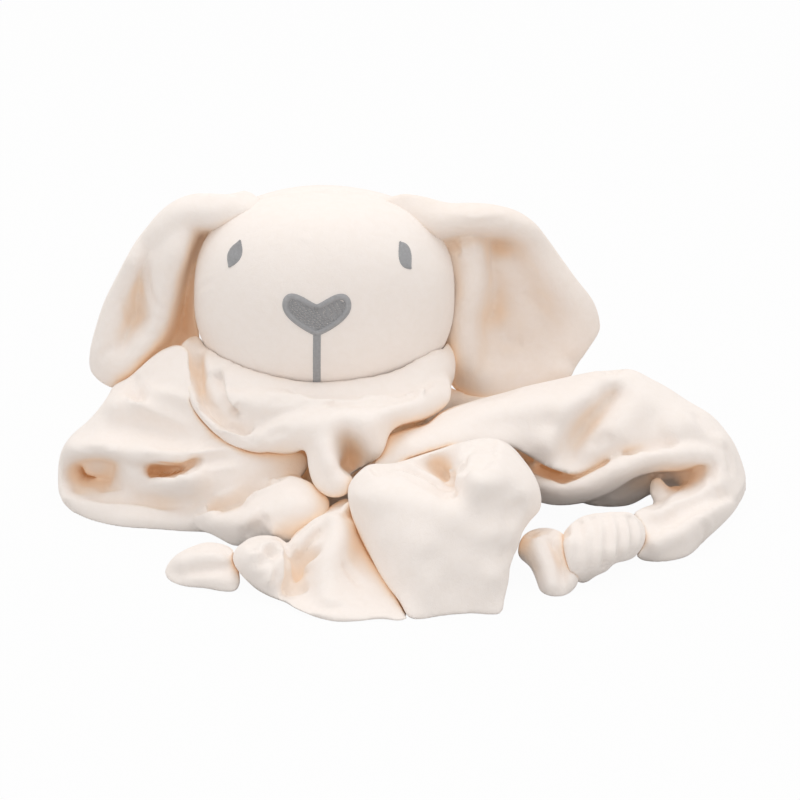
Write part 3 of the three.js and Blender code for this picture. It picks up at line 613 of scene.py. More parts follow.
@dataclass(frozen=True)
class Fold:
    """A fold of cloth: a slab carried along a route, in shares of its unit length, as in the solids.

    A row of the table says where the route passes, how wide and thick the fold is, and how far it is bent
    round its middle and rolled about the route.
    """

    rows: tuple[Row, ...]
    plump: bool = True
    rings: int = 48
    bend_radius: float = 12.0
    start: float = 0.0
    end: float = 0.0
    crowding: float = 0.5
    face: Point = (0.0, 0.0, 1.0)
    columns: int = 20
    unit: float = 100.0
    least: float = 0.16

    def _eases(self, places: list[np.ndarray]) -> np.ndarray:
        """How much of its full width the fold has at each ring, where its ends are rounded.

        Args:
            places: The middle of each ring, in millimetres.

        Returns:
            A share for each ring.
        """
        steps = [float(np.linalg.norm(b - a)) for a, b in zip(places, places[1:])]
        run = np.concatenate(([0.0], np.cumsum(steps)))

        def ease(distance: np.ndarray, length: float) -> np.ndarray:
            """The rounding over one end.

            Args:
                distance: How far each ring lies from the end, in millimetres.
                length: How long the rounding is.

            Returns:
                A share for each ring.
            """
            if length <= 0:
                return np.ones_like(distance)
            left = np.clip(1 - distance / length, 0, 1)
            return np.maximum(self.least, np.sqrt(1 - left * left))

        return ease(run, self.start * self.unit) * ease(run[-1] - run, self.end * self.unit)

    def _section(self, width: float, thickness: float, bend: float, grow: float) -> list[Pixel]:
        """One section's outline.

        Args:
            width: The section's width in millimetres.
            thickness: Its thickness in its middle.
            bend: How far it is bent, in radians.
            grow: How far its sides are moved out.

        Returns:
            Pairs of a place out and a rise, first along the top and then back below.
        """
        roundness = 2.1 if self.plump else 3.5
        arc = abs(bend) / 2 * self.bend_radius
        turned = math.copysign(1.0, bend)
        top, under = [], []
        for column in range(self.columns + 1):
            share = -math.cos(column / self.columns * HALF_TURN)
            fall = (1 - abs(share) ** roundness) ** (1 / roundness) if abs(share) < 1 else 0.0
            distance = share * (width / 2 + grow)
            run = min(abs(distance), arc)
            turn = run / self.bend_radius
            leg = abs(distance) - run
            side = math.copysign(1.0, distance)
            lean = side * turn * turned
            out = side * (self.bend_radius * math.sin(turn) + leg * math.cos(turn))
            rise = -turned * (self.bend_radius * (1 - math.cos(turn)) + leg * math.sin(turn))
            high = fall * (thickness / 2 + grow)
            for outline, lift in ((top, high), (under, -high)):
                outline.append((out + math.sin(lean) * lift, rise + math.cos(lean) * lift))
        return top + under[1:-1][::-1]

    def points(self, grow: float = 0.0) -> Skin:
        """The fold's closed skin.

        Args:
            grow: How far every side is moved out, in millimetres.

        Returns:
            The points in millimetres and the faces.
        """
        full = np.array([row + (0.0,) * (7 - len(row)) for row in self.rows])
        route, spans = full[:, :3] * self.unit, full[:, 3:6]
        rolls = np.column_stack((full[:, 6], np.arange(len(full))))
        evens = [ring / self.rings for ring in range(self.rings + 1)]
        shares = [even + self.crowding * ((1 - math.cos(even * HALF_TURN)) / 2 - even) for even in evens]
        places = [catmull(route, share) for share in shares]
        eases = self._eases(places)
        normal = np.array(self.face)
        skin: list[np.ndarray] = []
        for ring, (share, place, ease) in enumerate(zip(shares, places, eases)):
            ahead = catmull(route, share + 1e-4) - catmull(route, share - 1e-4)
            ahead /= np.linalg.norm(ahead)
            normal = normal - ahead * np.dot(normal, ahead)
            normal /= np.linalg.norm(normal)
            side = np.cross(ahead, normal)
            width, thickness, bend = catmull(spans, share)
            roll = catmull(rolls, share)[0] * HALF_TURN
            across = side * math.cos(roll) + normal * math.sin(roll)
            upward = normal * math.cos(roll) - side * math.sin(roll)
            centre = place + ahead * grow * ((ring == self.rings) - (ring == 0))
            outline = self._section(
                width * self.unit * ease, thickness * self.unit * math.sqrt(ease), bend * HALF_TURN, grow)
            skin.extend(centre + across * out + upward * rise for out, rise in outline)
        return np.array(skin), self._faces()

    def _faces(self) -> list[Face]:
        """Faces over the rings, with a fan of quads over each end.

        Returns:
            The faces by point.
        """
        size = 2 * self.columns
        faces: list[Face] = []
        for ring in range(0, self.rings * size, size):
            for index in range(size):
                after = (index + 1) % size
                faces.append((ring + index, ring + after, ring + size + after, ring + size + index))
        for ring, flip in ((0, True), (self.rings, False)):
            for column in range(self.columns):
                corners = [column, column + 1, (size - column - 1) % size, (size - column) % size]
                kept = list(dict.fromkeys(ring * size + corner for corner in corners))
                faces.append(tuple(kept[::-1] if flip else kept))
        return faces


@dataclass(frozen=True)
class Relief:
    """A layer of cloth drawn as the photograph shows it: its outline, and how far back it lies along lines.

    The outline is in pixels. Each line's points are two pixels and the Y of the layer there, in millimetres,
    and a thin plate is bent through all of them. Front and back say how thick the layer is on each side, and
    deep, where it is given, how far back its rear lies.
    """

    outline: tuple[Pixel, ...]
    lines: tuple[tuple[Point, ...], ...]
    front: float = 1.5
    back: float = 1.5
    deep: float = 0.0
    pitch: float = 3.2
    margin: float = 4.0
    spacing: float = 5.0
    pixel: float = 0.43
    reach: Pixel = (-400.0, 200.0)
    clear: float = 90.0

    def _levels(self, pixels: np.ndarray) -> np.ndarray:
        """The Y of the thin plate at each pixel.

        Args:
            pixels: The pixels, one per row.

        Returns:
            The Ys in millimetres.
        """
        known: list[np.ndarray] = []
        for line in self.lines:
            path = np.array(line, float)
            steps = int(np.linalg.norm(np.diff(path[:, :2], axis=0), axis=1).sum() / self.spacing)
            known.extend(catmull(path, index / steps) if steps else path[0] for index in range(steps + 1))
        table = np.array(known)
        middle = table[:, :2].mean(0)
        flat, wanted = (table[:, :2] - middle) / 100, (pixels - middle) / 100

        def bending(first: np.ndarray, second: np.ndarray) -> np.ndarray:
            """The thin plate's kernel between two sets of places."""
            square = ((first[:, None, :] - second[None, :, :]) ** 2).sum(2)
            return 0.5 * square * np.log(square + 1e-12)

        count = len(flat)
        plane = np.column_stack((np.ones(count), flat))
        matrix = np.zeros((count + 3, count + 3))
        matrix[:count, :count] = bending(flat, flat) + np.eye(count) * 1e-4
        matrix[:count, count:], matrix[count:, :count] = plane, plane.T
        weights = np.linalg.solve(matrix, np.concatenate((table[:, 2], np.zeros(3))))
        tilted = np.column_stack((np.ones(len(wanted)), wanted)) @ weights[count:]
        return bending(wanted, flat) @ weights[:count] + tilted

    def _edge(self, grow: float) -> np.ndarray:
        """The outline as a smooth loop in pixels, moved out.

        Args:
            grow: How far it is moved out, in millimetres.

        Returns:
            The loop's pixels, one per row.
        """
        own = np.array(self.outline, float)
        loop = np.vstack((own[-2:], own, own[:3]))
        steps = len(own) * 5
        first, last = 2 / (len(loop) - 1), (len(own) + 2) / (len(loop) - 1)
        ring = np.array([catmull(loop, first + (last - first) * index / steps) for index in range(steps)])
        ahead = np.roll(ring, -1, axis=0) - np.roll(ring, 1, axis=0)
        out = np.column_stack((ahead[:, 1], -ahead[:, 0])) / np.linalg.norm(ahead, axis=1)[:, None]
        turn = np.sum(ring[:, 0] * np.roll(ring[:, 1], -1) - np.roll(ring[:, 0], -1) * ring[:, 1])
        return ring + out * math.copysign(grow / self.pixel, turn)

    def _grid(self, ring: np.ndarray) -> tuple[np.ndarray, list[Face], int, int]:
        """Lays a grid over the outline.

        Args:
            ring: The outline in pixels.

        Returns:
            The grid's pixels, the faces of two such grids closed round their border, and its rows and
            columns.
        """
        low, high = ring.min(0) - self.margin, ring.max(0) + self.margin
        columns, rows = (int(size / self.pitch) + 1 for size in high - low)
        across, down = np.meshgrid(np.linspace(low[0], high[0], columns), np.linspace(low[1], high[1], rows))
        count = rows * columns
        faces: list[Face] = []
        for corner in (row * columns + column for row in range(rows - 1) for column in range(columns - 1)):
            quad = (corner, corner + 1, corner + columns + 1, corner + columns)
            faces.append(quad)
            faces.append(tuple(count + index for index in quad[::-1]))
        border = [
            *range(columns), *(row * columns + columns - 1 for row in range(1, rows)),
            *range(count - 2, count - columns - 1, -1), *(row * columns for row in range(rows - 2, 0, -1))]
        for first, second in zip(border, border[1:] + border[:1]):
            faces.append((second, first, count + first, count + second))
        return np.column_stack((across.ravel(), down.ravel())), faces, rows, columns

    def points(self, grow: float = 0.0, body: Skin | None = None) -> Skin:
        """The layer's closed skin.

        Args:
            grow: How far every side is moved out, in millimetres.
            body: A solid behind the layer that it is joined to, and that it hides the front of.

        Returns:
            The points in millimetres and the faces.
        """
        ring = self._edge(grow)
        pixels, faces, rows, columns = self._grid(ring)
        levels = self._levels(pixels)
        middle = CAMERA.spots(pixels, levels).reshape(rows, columns, 3)
        normal = np.cross(np.gradient(middle, axis=0), np.gradient(middle, axis=1))
        normal /= np.linalg.norm(normal, axis=2)[:, :, None]
        normal *= -np.sign(normal[:, :, 1])[:, :, None]
        near = (middle + normal * (self.front + grow)).reshape(-1, 3)
        far = (middle - normal * (self.back + grow)).reshape(-1, 3)
        if self.deep:
            far = CAMERA.spots(pixels, levels + self.deep + grow)
        slab = solid_object("relief_slab", np.vstack((near, far)), faces)
        size = len(ring)
        ends = np.vstack([CAMERA.spots(ring, np.full(size, end)) for end in self.reach])
        pairs = [(index, (index + 1) % size) for index in range(size)]
        walls = [(index, after, size + after, size + index) for index, after in pairs]
        caps = [tuple(range(size))[::-1], tuple(range(size, 2 * size))]
        prism = solid_object("relief_prism", ends, walls + caps)
        steps, base = [("INTERSECT", prism)], slab
        if body:
            before = np.vstack((CAMERA.spots(pixels, levels - self.clear), CAMERA.spots(pixels, levels)))
            base = solid_object("relief_body", *body)
            steps = [("DIFFERENCE", solid_object("relief_front", before, faces)), ("UNION", slab), *steps]
        for operation, helper in steps:
            cut(base, operation, helper)
        mesh = evaluated(base)
        discard(*{base, *(helper for _, helper in steps)})
        skin = np.array([point.co for point in mesh.vertices]) / MM
        sides = [tuple(face.vertices) for face in mesh.polygons]
        bpy.data.meshes.remove(mesh)
        return skin, sides


# Sculpting


@dataclass(frozen=True)
class Mark:
    """A wrinkle drawn in the photograph's pixels and thrown onto the cloth, sunk between two soft lips."""

    width: float
    depth: float
    path: tuple[Pixel, ...]
    lip: float
    taper: float


def crease(width: float, depth: float, *path: Pixel, lip: float = 0.35, taper: float = 0.3) -> Mark:
    """A crease of a half width and depth in millimetres, along pixels. A negative depth makes it a ridge."""
    return Mark(width, depth, path, lip, taper)


class Sculpture:
    """Cloth as points and faces in millimetres, softened, wrinkled and then given back as a mesh.

    Strength is the share of the way that a point goes in each softening, and tip that of a sharp point. Trace
    is the distance in pixels between the places where a wrinkle is thrown, reach how many of its half widths
    it touches, and lip where its lips stand and how wide they are, also in half widths. Turned is the cosine
    between a place's normal and the wrinkle's from which the wrinkle takes hold there, and the rise in it
    over which the hold grows to the full. Swells is how many waves a ruffle has.
    """

    strength = 0.5
    tip = 0.9
    floor = 0.05
    trace = 2.5
    reach = 3.2
    lip = (1.8, 0.75)
    turned = (0.05, 0.4)
    swells = 7

    def __init__(self, mesh: bpy.types.Mesh) -> None:
        """Takes the points, faces and edges of a mesh in metres.

        Args:
            mesh: The mesh, which is written to later.
        """
        count = len(mesh.vertices)
        flat = np.zeros(count * 3, np.float32)
        mesh.vertices.foreach_get("co", flat)
        self.points = flat.reshape(-1, 3).astype(float) / MM
        ends = np.zeros(len(mesh.edges) * 2, np.int32)
        mesh.edges.foreach_get("vertices", ends)
        self.ends = ends.reshape(-1, 2)
        self.faces = [tuple(face.vertices) for face in mesh.polygons]
        self.mesh = mesh
        self.valence = np.bincount(self.ends.ravel(), minlength=count).clip(1)

    def _store(self) -> None:
        """Writes the points back into the mesh."""
        self.mesh.vertices.foreach_set("co", (self.points * MM).astype(np.float32).ravel())
        self.mesh.update()

    def _normals(self) -> np.ndarray:
        """The unit normal at each point.

        Returns:
            The normals, one per row.
        """
        self._store()
        flat = np.zeros(len(self.points) * 3, np.float32)
        self.mesh.vertex_normals.foreach_get("vector", flat)
        return flat.reshape(-1, 3).astype(float)

    def _mean(self, values: np.ndarray) -> np.ndarray:
        """Each point's mean of its neighbours' values.

        Args:
            values: The values, one row per point.

        Returns:
            The means, one row per point.
        """
        first, second = self.ends[:, 0], self.ends[:, 1]
        total = np.zeros_like(values)
        for axis in range(values.shape[1]):
            total[:, axis] += np.bincount(first, values[second, axis], len(values))
            total[:, axis] += np.bincount(second, values[first, axis], len(values))
        return total / self.valence[:, None]

    def soften(self, rounds: int, keep: float = 0.0) -> "Sculpture":
        """Evens the surface out.

        Args:
            rounds: How many times.
            keep: How much of each step's shrinking is undone, from 0 to 1.

        Returns:
            This sculpture.
        """
        for _ in range(rounds):
            self.points += (self._mean(self.points) - self.points) * self.strength
            if keep:
                self.points -= (self._mean(self.points) - self.points) * self.strength * keep
        return self

    def blunt(self, rounds: int = 25, limit: float = 0.16) -> "Sculpture":
        """Draws in only what is sharp, such as the thin tips that a cut leaves.

        Args:
            rounds: How many times.
            limit: How far off its neighbours' mean a sharp point lies, in millimetres.

        Returns:
            This sculpture.
        """
        for _ in range(rounds):
            way = self._mean(self.points) - self.points
            sharp = np.linalg.norm(way, axis=1) > limit
            self.points[sharp] += way[sharp] * self.tip
        return self

    def mark(self, marks: Sequence[Mark]) -> "Sculpture":
        """Draws wrinkles on the surface, all from the surface as it is now.

        Args:
            marks: The wrinkles.

        Returns:
            This sculpture.
        """
        if marks:
            tree = BVHTree.FromPolygons([Vector(point) for point in self.points], self.faces)
            normals = self._normals()
            moved = np.zeros_like(self.points)
            for wrinkle in marks:
                self._draw(wrinkle, tree, normals, moved)
            self.points += moved
        return self

    def _draw(self, wrinkle: Mark, tree: BVHTree, normals: np.ndarray, moved: np.ndarray) -> None:
        """Adds one wrinkle's moves.

        Args:
            wrinkle: The wrinkle.
            tree: The surface.
            normals: The normal at each point.
            moved: How far each point is moved, which is added to.
        """
        path = np.array(wrinkle.path, float)
        hits, ups = [], []
        length = np.linalg.norm(np.diff(path, axis=0), axis=1).sum()
        steps = max(4, int(length / self.trace)) if len(path) > 1 else 0
        for index in range(steps + 1):
            pixel = catmull(path, index / steps) if steps else path[0]
            spot, up, _, _ = tree.ray_cast(*CAMERA.ray(*pixel))
            if spot is not None:
                hits.append((index / max(steps, 1), *spot))
                ups.append(tuple(up))
        if not hits:
            LOG.warning("a mark at %s misses its cloth", wrinkle.path[0])
            return
        track, rises = np.array(hits), np.array(ups)
        shares, spots = track[:, 0], track[:, 1:]
        if len(spots) > 4:
            padded = np.pad(rises, ((2, 2), (0, 0)), mode="edge")
            kernel = np.ones(5) / 5
            rises = np.column_stack([np.convolve(padded[:, axis], kernel, "valid") for axis in range(3)])
            rises /= np.linalg.norm(rises, axis=1)[:, None]
        far = wrinkle.width * self.reach
        low, high = spots.min(0) - far, spots.max(0) + far
        near = np.flatnonzero(((self.points > low) & (self.points < high)).all(1))
        if len(near) == 0:
            return
        distances = np.linalg.norm(self.points[near][:, None, :] - spots[None, :, :], axis=2)
        closest = distances.argmin(1)
        rise = rises[closest]
        hold = np.clip((np.einsum("ij,ij->i", normals[near], rise) - self.turned[0]) / self.turned[1], 0, 1)
        if wrinkle.taper > 0 and len(spots) > 1:
            share = shares[closest]
            edge = np.clip(np.minimum(share, 1 - share) / wrinkle.taper, 0, 1)
            hold = hold * (edge * edge * (3 - 2 * edge))
        reach = distances[np.arange(len(near)), closest] / wrinkle.width
        lips = np.exp(-(((reach - self.lip[0]) / self.lip[1]) ** 2))
        amount = wrinkle.lip * lips - np.exp(-reach**2)
        moved[near] += rise * (amount * wrinkle.depth * hold)[:, None]

    def ruffle(self, height: float, length: float, seed: int) -> "Sculpture":
        """Adds soft, uneven swells.

        Args:
            height: Their height in millimetres.
            length: Their wavelength in millimetres.
            seed: What they start from.

        Returns:
            This sculpture.
        """
        chance = np.random.default_rng(seed)
        total = np.zeros(len(self.points))
        for _ in range(self.swells):
            way = chance.normal(size=3)
            way /= np.linalg.norm(way)
            pace = length * chance.uniform(0.7, 1.4)
            total += np.sin(self.points @ way * 2 * HALF_TURN / pace + chance.uniform(0, 6.3))
        self.points += self._normals() * (total * height / 2.6)[:, None]
        return self

    def shape(self, move: Callable[[np.ndarray], np.ndarray]) -> "Sculpture":
        """Moves every point by a rule of its place."""
        self.points = self.points + move(self.points)
        return self

    def settle(self) -> "Sculpture":
        """Keeps the cloth on the floor."""
        self.points[:, 2] = np.maximum(self.points[:, 2], self.floor)
        return self

    def piece(self, name: str, finish: Finish) -> bpy.types.Object:
        """The sculpture as a smooth, dressed mesh object at the origin.

        Args:
            name: The object's name.
            finish: Its finish.

        Returns:
            The object.
        """
        self._store()
        self.mesh.name = name
        self.mesh.polygons.foreach_set("use_smooth", [True] * len(self.mesh.polygons))
        self.mesh.update()
        piece = placed(name, self.mesh)
        finish.dress(piece)
        return piece


# The drape's tables

FOLDS: dict[str, Fold] = {
    "left_panel": Fold((
        (-0.34, -0.36, 0.43, 0.50, 0.10, 0.15, 0.12),
        (-0.57, -0.35, 0.44, 0.62, 0.10, 0.15, 0.13),
        (-0.76, -0.36, 0.39, 0.55, 0.10, 0.13, 0.09),
        (-0.92, -0.37, 0.335, 0.47, 0.10, 0.08, 0.04),
        (-1.035, -0.38, 0.265, 0.43, 0.10, 0.03, 0.01),
        (-1.075, -0.385, 0.165, 0.42, 0.10),
        (-1.00, -0.39, 0.07, 0.42, 0.11),
        (-0.80, -0.41, 0.055, 0.44, 0.12),
        (-0.60, -0.43, 0.055, 0.42, 0.12),
        (-0.42, -0.45, 0.055, 0.38, 0.12),
    ), plump=False, crowding=0.0, rings=90),
    "left_front_bulge": Fold((
        (-0.52, -0.74, 0.07, 0.14, 0.12),
        (-0.42, -0.84, 0.10, 0.30, 0.20),
        (-0.29, -0.93, 0.13, 0.38, 0.25),
        (-0.13, -0.95, 0.17, 0.38, 0.27),
        (0.03, -0.92, 0.20, 0.32, 0.24),
        (0.17, -0.90, 0.21, 0.24, 0.18),
    ), start=0.08),
    "collar_lower_roll": Fold((
        (-0.53, -0.04, 0.575, 0.14, 0.12),
        (-0.54, -0.20, 0.515, 0.15, 0.12),
        (-0.50, -0.34, 0.44, 0.16, 0.13),
        (-0.43, -0.47, 0.385, 0.17, 0.14),
        (-0.30, -0.57, 0.37, 0.18, 0.14),
        (-0.15, -0.63, 0.40, 0.22, 0.15),
        (0.00, -0.66, 0.43, 0.24, 0.15),
    ), start=0.05),
    "collar_upper_roll": Fold((
        (-0.47, -0.14, 0.54, 0.13, 0.10),
        (-0.42, -0.29, 0.48, 0.16, 0.12),
        (-0.32, -0.40, 0.44, 0.20, 0.14),
        (-0.16, -0.48, 0.455, 0.24, 0.14),
        (0.03, -0.51, 0.475, 0.24, 0.14),
        (0.24, -0.48, 0.485, 0.20, 0.13),
        (0.39, -0.38, 0.51, 0.16, 0.12),
        (0.46, -0.22, 0.53, 0.13, 0.10),
    ), start=0.05, end=0.05),
    "front_swag": Fold((
        (0.51, -0.24, 0.52, 0.16, 0.14),
        (0.48, -0.40, 0.50, 0.20, 0.16),
        (0.34, -0.56, 0.49, 0.24, 0.17),
        (0.16, -0.64, 0.46, 0.24, 0.17),
        (0.02, -0.69, 0.41, 0.20, 0.16),
        (-0.005, -0.77, 0.33, 0.17, 0.15),
        (0.06, -0.83, 0.27, 0.17, 0.15),
        (0.18, -0.84, 0.265, 0.16, 0.14),
        (0.30, -0.82, 0.28, 0.13, 0.12),
    ), start=0.05, end=0.05, rings=60),
    "front_fan": Fold((
        (-0.17, -1.30, 0.07, 0.22, 0.13, 0, -0.04),
        (-0.06, -1.275, 0.11, 0.46, 0.18, 0.2, -0.09),
        (0.08, -1.26, 0.13, 0.62, 0.20, 0.2, -0.12),
        (0.26, -1.28, 0.11, 0.60, 0.17, 0.15, -0.11),
        (0.42, -1.31, 0.07, 0.46, 0.12, 0.1, -0.08),
    ), plump=False, start=0.12),
    "left_knot": Fold((
        (-0.33, -1.33, 0.115, 0.16, 0.16),
        (-0.28, -1.33, 0.125, 0.27, 0.25),
        (-0.20, -1.33, 0.135, 0.30, 0.275),
        (-0.12, -1.32, 0.125, 0.25, 0.24),
        (-0.08, -1.31, 0.12, 0.16, 0.16),
    ), start=0.08, end=0.08),
    "left_knot_tail": Fold((
        (-0.30, -1.28, 0.085, 0.16, 0.11),
        (-0.39, -1.25, 0.085, 0.33, 0.13, 0.1, 0.03),
        (-0.48, -1.24, 0.08, 0.33, 0.13, 0.1, 0.03),
        (-0.55, -1.25, 0.07, 0.23, 0.11),
        (-0.61, -1.27, 0.06, 0.10, 0.08),
    ), plump=False, start=0.08, end=0.08),
    "front_flap": Fold((
        (0.48, -0.84, 0.39, 0.36, 0.10, 0.1),
        (0.48, -0.96, 0.345, 0.66, 0.12, 0.12),
        (0.475, -1.13, 0.26, 0.80, 0.13, 0.14),
        (0.48, -1.30, 0.16, 0.68, 0.14, 0.12),
        (0.51, -1.46, 0.07, 0.54, 0.13, 0.08),
        (0.52, -1.56, 0.03, 0.44, 0.08),
    ), plump=False, face=(0, -0.5, 0.87), bend_radius=30.0, end=0.05),
    "right_panel": Fold((
        (0.10, -0.64, 0.39, 0.16, 0.16),
        (0.34, -0.66, 0.385, 0.19, 0.17),
        (0.55, -0.60, 0.43, 0.23, 0.17),
        (0.79, -0.48, 0.455, 0.32, 0.17, 0.1, -0.08),
        (1.03, -0.38, 0.43, 0.44, 0.15, 0.2, -0.20),
        (1.27, -0.32, 0.40, 0.54, 0.13, 0.3, -0.24),
        (1.47, -0.32, 0.345, 0.54, 0.12, 0.3, -0.22),
        (1.62, -0.36, 0.28, 0.46, 0.12, 0.2, -0.18),
        (1.70, -0.44, 0.20, 0.34, 0.12),
    ), plump=False, end=0.08, rings=70),
    "right_hem_roll": Fold((
        (0.84, -0.46, 0.11, 0.14, 0.14),
        (1.04, -0.45, 0.105, 0.19, 0.15),
        (1.19, -0.41, 0.14, 0.19, 0.15),
        (1.36, -0.39, 0.205, 0.19, 0.14),
        (1.54, -0.40, 0.24, 0.19, 0.14),
        (1.67, -0.41, 0.21, 0.14, 0.12),
    ), start=0.05),
    "right_floor_fold": Fold((
        (0.84, -0.34, 0.05, 0.20, 0.10),
        (1.03, -0.33, 0.06, 0.28, 0.12),
        (1.20, -0.36, 0.065, 0.28, 0.13),
        (1.39, -0.37, 0.06, 0.22, 0.12),
        (1.53, -0.40, 0.06, 0.16, 0.11),
    ), start=0.08, end=0.08),
    "right_corner_fold": Fold((
        (1.62, -0.40, 0.16, 0.22, 0.20),
        (1.65, -0.56, 0.14, 0.29, 0.25),
        (1.58, -0.78, 0.125, 0.33, 0.25),
        (1.46, -0.96, 0.12, 0.30, 0.23),
        (1.33, -1.05, 0.115, 0.18, 0.18),
    ), start=0.08),
    "right_knot_tail": Fold((
        (1.06, -1.16, 0.045, 0.14, 0.10),
        (1.05, -1.13, 0.10, 0.14, 0.10),
        (0.97, -1.10, 0.145, 0.14, 0.10),
        (0.89, -1.12, 0.13, 0.14, 0.10),
        (0.87, -1.21, 0.08, 0.14, 0.10),
        (0.91, -1.31, 0.045, 0.13, 0.09),
    ), face=(1, 0, 0), start=0.05, end=0.05),
    "back_centre_fold": Fold((
        (0, 0.16, 0.32, 0.50, 0.10, 0.30),
        (0, 0.38, 0.22, 0.80, 0.10, 0.32),
        (0.02, 0.62, 0.12, 0.92, 0.09, 0.20),
        (0.03, 0.84, 0.055, 0.84, 0.08, 0.06),
    ), plump=False, end=0.08),
    "back_left_fold": Fold((
        (-0.18, 0.05, 0.33, 0.44, 0.10, 0.34),
        (-0.46, 0.16, 0.235, 0.76, 0.10, 0.34),
        (-0.72, 0.30, 0.13, 0.80, 0.09, 0.22),
        (-0.94, 0.42, 0.055, 0.66, 0.08, 0.06),
    ), plump=False, end=0.08),
    "back_right_fold": Fold((
        (0.18, 0.03, 0.33, 0.44, 0.10, 0.34),
        (0.50, 0.10, 0.235, 0.76, 0.10, 0.34),
        (0.84, 0.20, 0.13, 0.84, 0.09, 0.22),
        (1.16, 0.28, 0.055, 0.66, 0.08, 0.06),
    ), plump=False, end=0.08),
}

